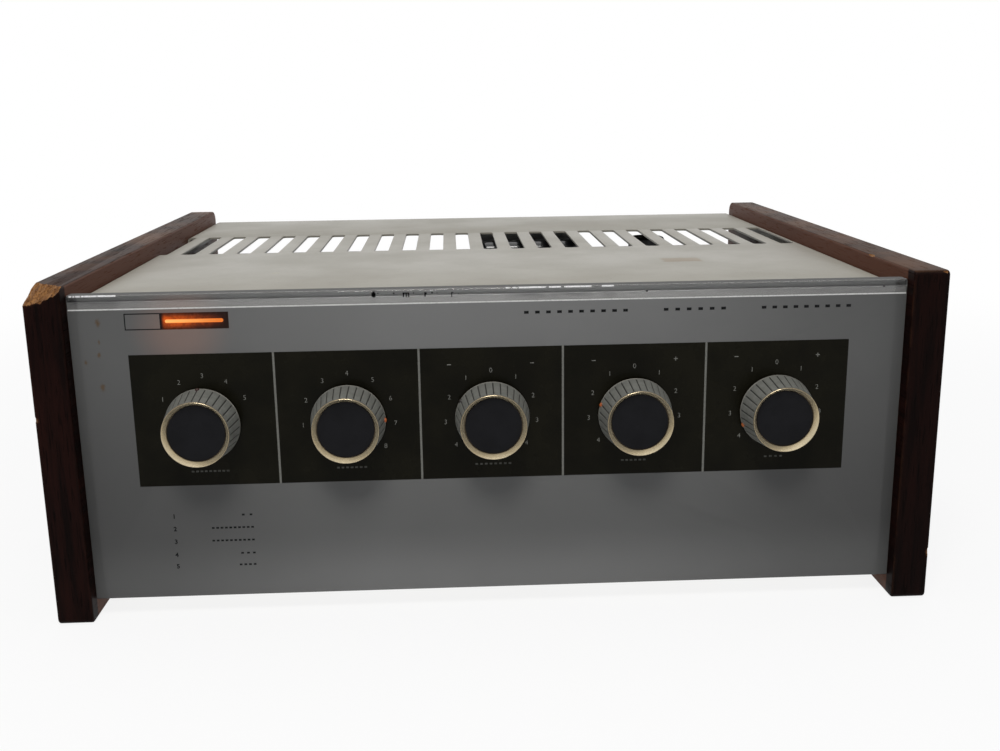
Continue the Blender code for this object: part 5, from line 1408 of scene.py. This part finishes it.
def oiled_wood(name, pale, dark, pore, bare, inner_light_colour, rub, streak, dust):
    material, tree, shader = new_material(name, {"Specular IOR Level": 0.035})
    figure = use_group(tree, wood_figure, Streak_Size=streak, Pore_Size=0.0007)
    edge = use_group(tree, edge_rub, Width=0.0012, Patch_Size=0.012, Amount=rub)["Mask"]
    dusty = use_group(tree, settled_dust, Amount=dust, Patch_Size=0.05)["Mask"]
    wood = mix_colours(tree, figure["Streaks"], pale, dark)
    wood = mix_colours(tree, calculate(tree, "MULTIPLY", figure["Broad"], 0.5), wood, dark)
    wood = mix_colours(tree, calculate(tree, "MULTIPLY", figure["Pores"], 0.7), wood, pore)
    across, along, height = add_node(tree, "SeparateXYZ", {0: add_node(tree, "TexCoord").outputs["Object"]}).outputs
    side = calculate(tree, "SIGN", across)
    outward = calculate(tree, "MULTIPLY", side, add_node(tree, "SeparateXYZ", {0: add_node(tree, "NewGeometry").outputs["True Normal"]}).outputs["X"])
    fading_and_inner_light = spread(tree, outward, -0.9, -0.5, 1.0, 0.0)  # painted light, the inner faces lighter behind the front
    fading_and_inner_light = calculate(tree, "MULTIPLY", fading_and_inner_light, spread(tree, along, FACE_Y, FACE_Y + 0.002))
    wood = mix_colours(tree, calculate(tree, "MULTIPLY", fading_and_inner_light, 0.75), wood, inner_light_colour)
    wood = mix_colours(tree, dusty, wood, (0.1, 0.047, 0.024))
    relief = calculate(tree, "SUBTRACT", calculate(tree, "MULTIPLY", figure["Streaks"], 0.3), figure["Pores"])
    feed(
        tree,
        shader,
        Base_Color=mix_colours(tree, edge, wood, bare),
        Roughness=calculate(tree, "ADD", 0.45, calculate(tree, "MULTIPLY", figure["Pores"], 0.25)),
        Normal=bump(tree, relief, 0.00012, 0.5),
    )
    return material


walnut = oiled_wood(
    "walnut", (0.0125, 0.0036, 0.0026), (0.003, 0.0012, 0.001), (0.0015, 0.0008, 0.0007), (0.1, 0.042, 0.02), (0.13, 0.055, 0.034), 0.75, 0.0042, 0.8
)
raw_wood = oiled_wood(
    "raw_wood", (0.3, 0.145, 0.05), (0.11, 0.045, 0.016), (0.035, 0.015, 0.006), (0.3, 0.145, 0.05), (0.3, 0.145, 0.05), 0.0, 0.0012, 0.0
)


def carve(board, bm):
    """Cuts a solid out of a board, leaving raw wood where it was."""
    tool = bpy.data.objects.new("tool", mesh_from(bm, "tool"))
    for material in (walnut, raw_wood):
        tool.data.materials.append(material)
    for face in tool.data.polygons:
        face.material_index = 1
    bpy.context.scene.collection.objects.link(tool)
    add_modifier(board, "BOOLEAN", object=tool, operation="DIFFERENCE", solver="EXACT")
    settle(board)
    bpy.data.objects.remove(tool)


def break_line(x, y):
    """Height of the broken surface: it falls towards the outer front corner, hollow and splintery."""
    fall = CHIP_CORNER.z + CHIP_RISE[0] * (x - CHIP_CORNER.x) + CHIP_RISE[1] * (y - CHIP_CORNER.y)
    hollow = CHIP_HOLLOW * math.exp(-(((x - CHIP_CORNER.x - 0.009) / 0.005) ** 2) - ((y - CHIP_CORNER.y) / 0.007) ** 2)
    splinters = noise_at(Vector((x * 700, y * 160, 0.0))) * 0.0009 + noise_at(Vector((x * 2100, y * 700, 3.0))) * 0.00045
    return fall - hollow + splinters


def dent(board, middle, size, seed):
    """A small knock out of an edge."""
    bm = bmesh.new()
    bmesh.ops.create_icosphere(bm, subdivisions=3, radius=1.0)
    for vert in bm.verts:
        reach = 1 + 0.35 * noise_at(vert.co * 1.7 + Vector((seed, 0, 0)))
        vert.co = Vector(middle) + Vector([c * s * reach for c, s in zip(vert.co, size)])
    carve(board, bm)


CHIP_CORNER = Vector((-0.1957, -0.15985, 0.1436))  # the break's lowest point
CHIP_RISE = (0.395, 0.387)  # per metre inwards and backwards
CHIP_HOLLOW = 0.0019
CHIP_AREA = ((-0.1985, -0.1640), (-0.1785, -0.1300))

for word in ("left", "right"):
    node = "side_panel_" + word
    low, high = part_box(node)
    outline = rounded(
        [
            (low.y, low.z, BOARD_BOTTOM_RADIUS),
            (high.y, low.z, BOARD_BOTTOM_RADIUS),
            (high.y, high.z, BOARD_REAR_RADIUS),
            (low.y, high.z, BOARD_TOP_RADIUS),
        ]
    )
    board = add_piece(node + "_board", bar_mesh(node, outline, low.x, high.x), [walnut, raw_wood], replaces=[node])
    add_modifier(board, "BEVEL", width=BOARD_EDGE, segments=4, limit_method="ANGLE", angle_limit=math.radians(50))
    settle(board)
    if word == "right":
        dent(board, (high.x, low.y + 0.0002, 0.0223), (0.0011, 0.0014, 0.0019), 5.0)
        dent(board, (high.x - 0.002, low.y, high.z - 0.0003), (0.0014, 0.0012, 0.0009), 2.0)
        dent(board, (low.x, low.y + 0.052, high.z), (0.0009, 0.0045, 0.0008), 8.0)
        continue
    dent(board, (low.x, low.y + 0.0002, 0.0945), (0.0012, 0.0015, 0.0013), 1.0)
    bm = bmesh.new()
    (from_x, from_y), (to_x, to_y) = CHIP_AREA
    count_x, count_y = 44, 56
    rows = []
    for i in range(count_x + 1):
        x = from_x + (to_x - from_x) * i / count_x
        ys = [from_y + (to_y - from_y) * k / count_y for k in range(count_y + 1)]
        rows.append([bm.verts.new((x, y, break_line(x, y))) for y in ys])
    for near, far in zip(rows, rows[1:]):
        for k in range(count_y):
            bm.faces.new((near[k], near[k + 1], far[k + 1], far[k]))
    rim = [edge for edge in bm.edges if len(edge.link_faces) == 1]
    raised = bmesh.ops.extrude_edge_only(bm, edges=rim)["geom"]
    for vert in raised:
        if isinstance(vert, bmesh.types.BMVert):
            vert.co.z = high.z + 0.02
    bmesh.ops.holes_fill(bm, edges=[e for e in bm.edges if len(e.link_faces) == 1])
    carve(board, bm)


# Studio. A pale floor that fades into white, a large soft light overhead and behind, and a smaller one
# high in front. The camera stands where the photograph was taken from.

FLOOR_HALF = 4.0
FLOOR_FADE = (0.3, 0.9)
FLOOR_GLOW = 0.85  # share of plain white near the object, so that its shadow stays light
CAMERA_PLACE = Vector((-0.01788, -0.63392, 0.22565))
CAMERA_YAW, CAMERA_PITCH, CAMERA_ROLL = 0.0424, 0.2403, -0.0137  # radians, the pitch downwards
CAMERA_LENS = 41.05
LAMPS = (  # name, place, aim, width, height, watts, colour
    ("overhead", (0.0, 0.25, 1.1), (0, 0, 0.1), 1.6, 1.0, 3.2, (1, 0.99, 0.97)),
    ("key", (-0.1, -0.85, 1.15), (0, -0.1, 0.08), 0.5, 0.35, 9, (1, 0.98, 0.95)),
)

bm = bmesh.new()
bmesh.ops.create_grid(bm, x_segments=4, y_segments=4, size=FLOOR_HALF)
floor = bpy.data.objects.new("floor", mesh_from(bm, "floor"))
bpy.context.scene.collection.objects.link(floor)
floor_white, tree, shader = new_material("floor_white", {"Base Color": (0.9, 0.9, 0.9, 1), "Roughness": 0.9})
away = add_node(tree, "VectorMath", {0: add_node(tree, "TexCoord").outputs["Object"]}, operation="LENGTH").outputs["Value"]
glow = add_node(tree, "Emission", {"Color": (1, 1, 1, 1), "Strength": 1.0}).outputs[0]
rays = add_node(tree, "LightPath").outputs
seen = calculate(tree, "MAXIMUM", rays["Is Camera Ray"], calculate(tree, "MAXIMUM", rays["Is Glossy Ray"], rays["Is Transmission Ray"]))
far = calculate(tree, "MULTIPLY", spread(tree, away, *FLOOR_FADE, FLOOR_GLOW, 1.0), seen)
blend = add_node(tree, "MixShader", {0: far, 1: shader.outputs[0], 2: glow}).outputs[0]
tree.links.new(blend, tree.nodes["Material Output"].inputs["Surface"])
floor.data.materials.append(floor_white)

world = bpy.data.worlds.new("studio")
world.use_nodes = True
bpy.context.scene.world = world
tree = world.node_tree
rays = add_node(tree, "LightPath").outputs
seen = calculate(tree, "MAXIMUM", rays["Is Camera Ray"], calculate(tree, "MAXIMUM", rays["Is Glossy Ray"], rays["Is Transmission Ray"]))
tree.links.new(mix_colours(tree, seen, (0.34, 0.35, 0.37), (1.0, 1.0, 1.0)), tree.nodes["Background"].inputs["Color"])

for name, place, aim, width, height, watts, colour in LAMPS:
    light = bpy.data.lights.new(name, "AREA")
    light.shape = "RECTANGLE"
    light.size, light.size_y = width, height
    light.energy = watts
    light.color = colour
    lamp = bpy.data.objects.new(name, light)
    lamp.location = place
    lamp.rotation_euler = (Vector(aim) - Vector(place)).to_track_quat("-Z", "Y").to_euler()
    bpy.context.scene.collection.objects.link(lamp)

ahead = Vector(
    (
        math.sin(CAMERA_YAW) * math.cos(CAMERA_PITCH),
        math.cos(CAMERA_YAW) * math.cos(CAMERA_PITCH),
        -math.sin(CAMERA_PITCH),
    )
)
right = Vector((math.cos(CAMERA_YAW), -math.sin(CAMERA_YAW), 0))
up = right.cross(ahead)
rolled_right = math.cos(CAMERA_ROLL) * right + math.sin(CAMERA_ROLL) * up
rolled_up = math.cos(CAMERA_ROLL) * up - math.sin(CAMERA_ROLL) * right
camera = bpy.data.objects.new("camera", bpy.data.cameras.new("camera"))
camera.data.lens = CAMERA_LENS
camera.data.sensor_width = 36.0
camera.matrix_world = Matrix.Translation(CAMERA_PLACE) @ Matrix((rolled_right, rolled_up, -ahead)).transposed().to_4x4()
bpy.context.scene.collection.objects.link(camera)
bpy.context.scene.camera = camera
bpy.context.scene.view_settings.view_transform = "Standard"
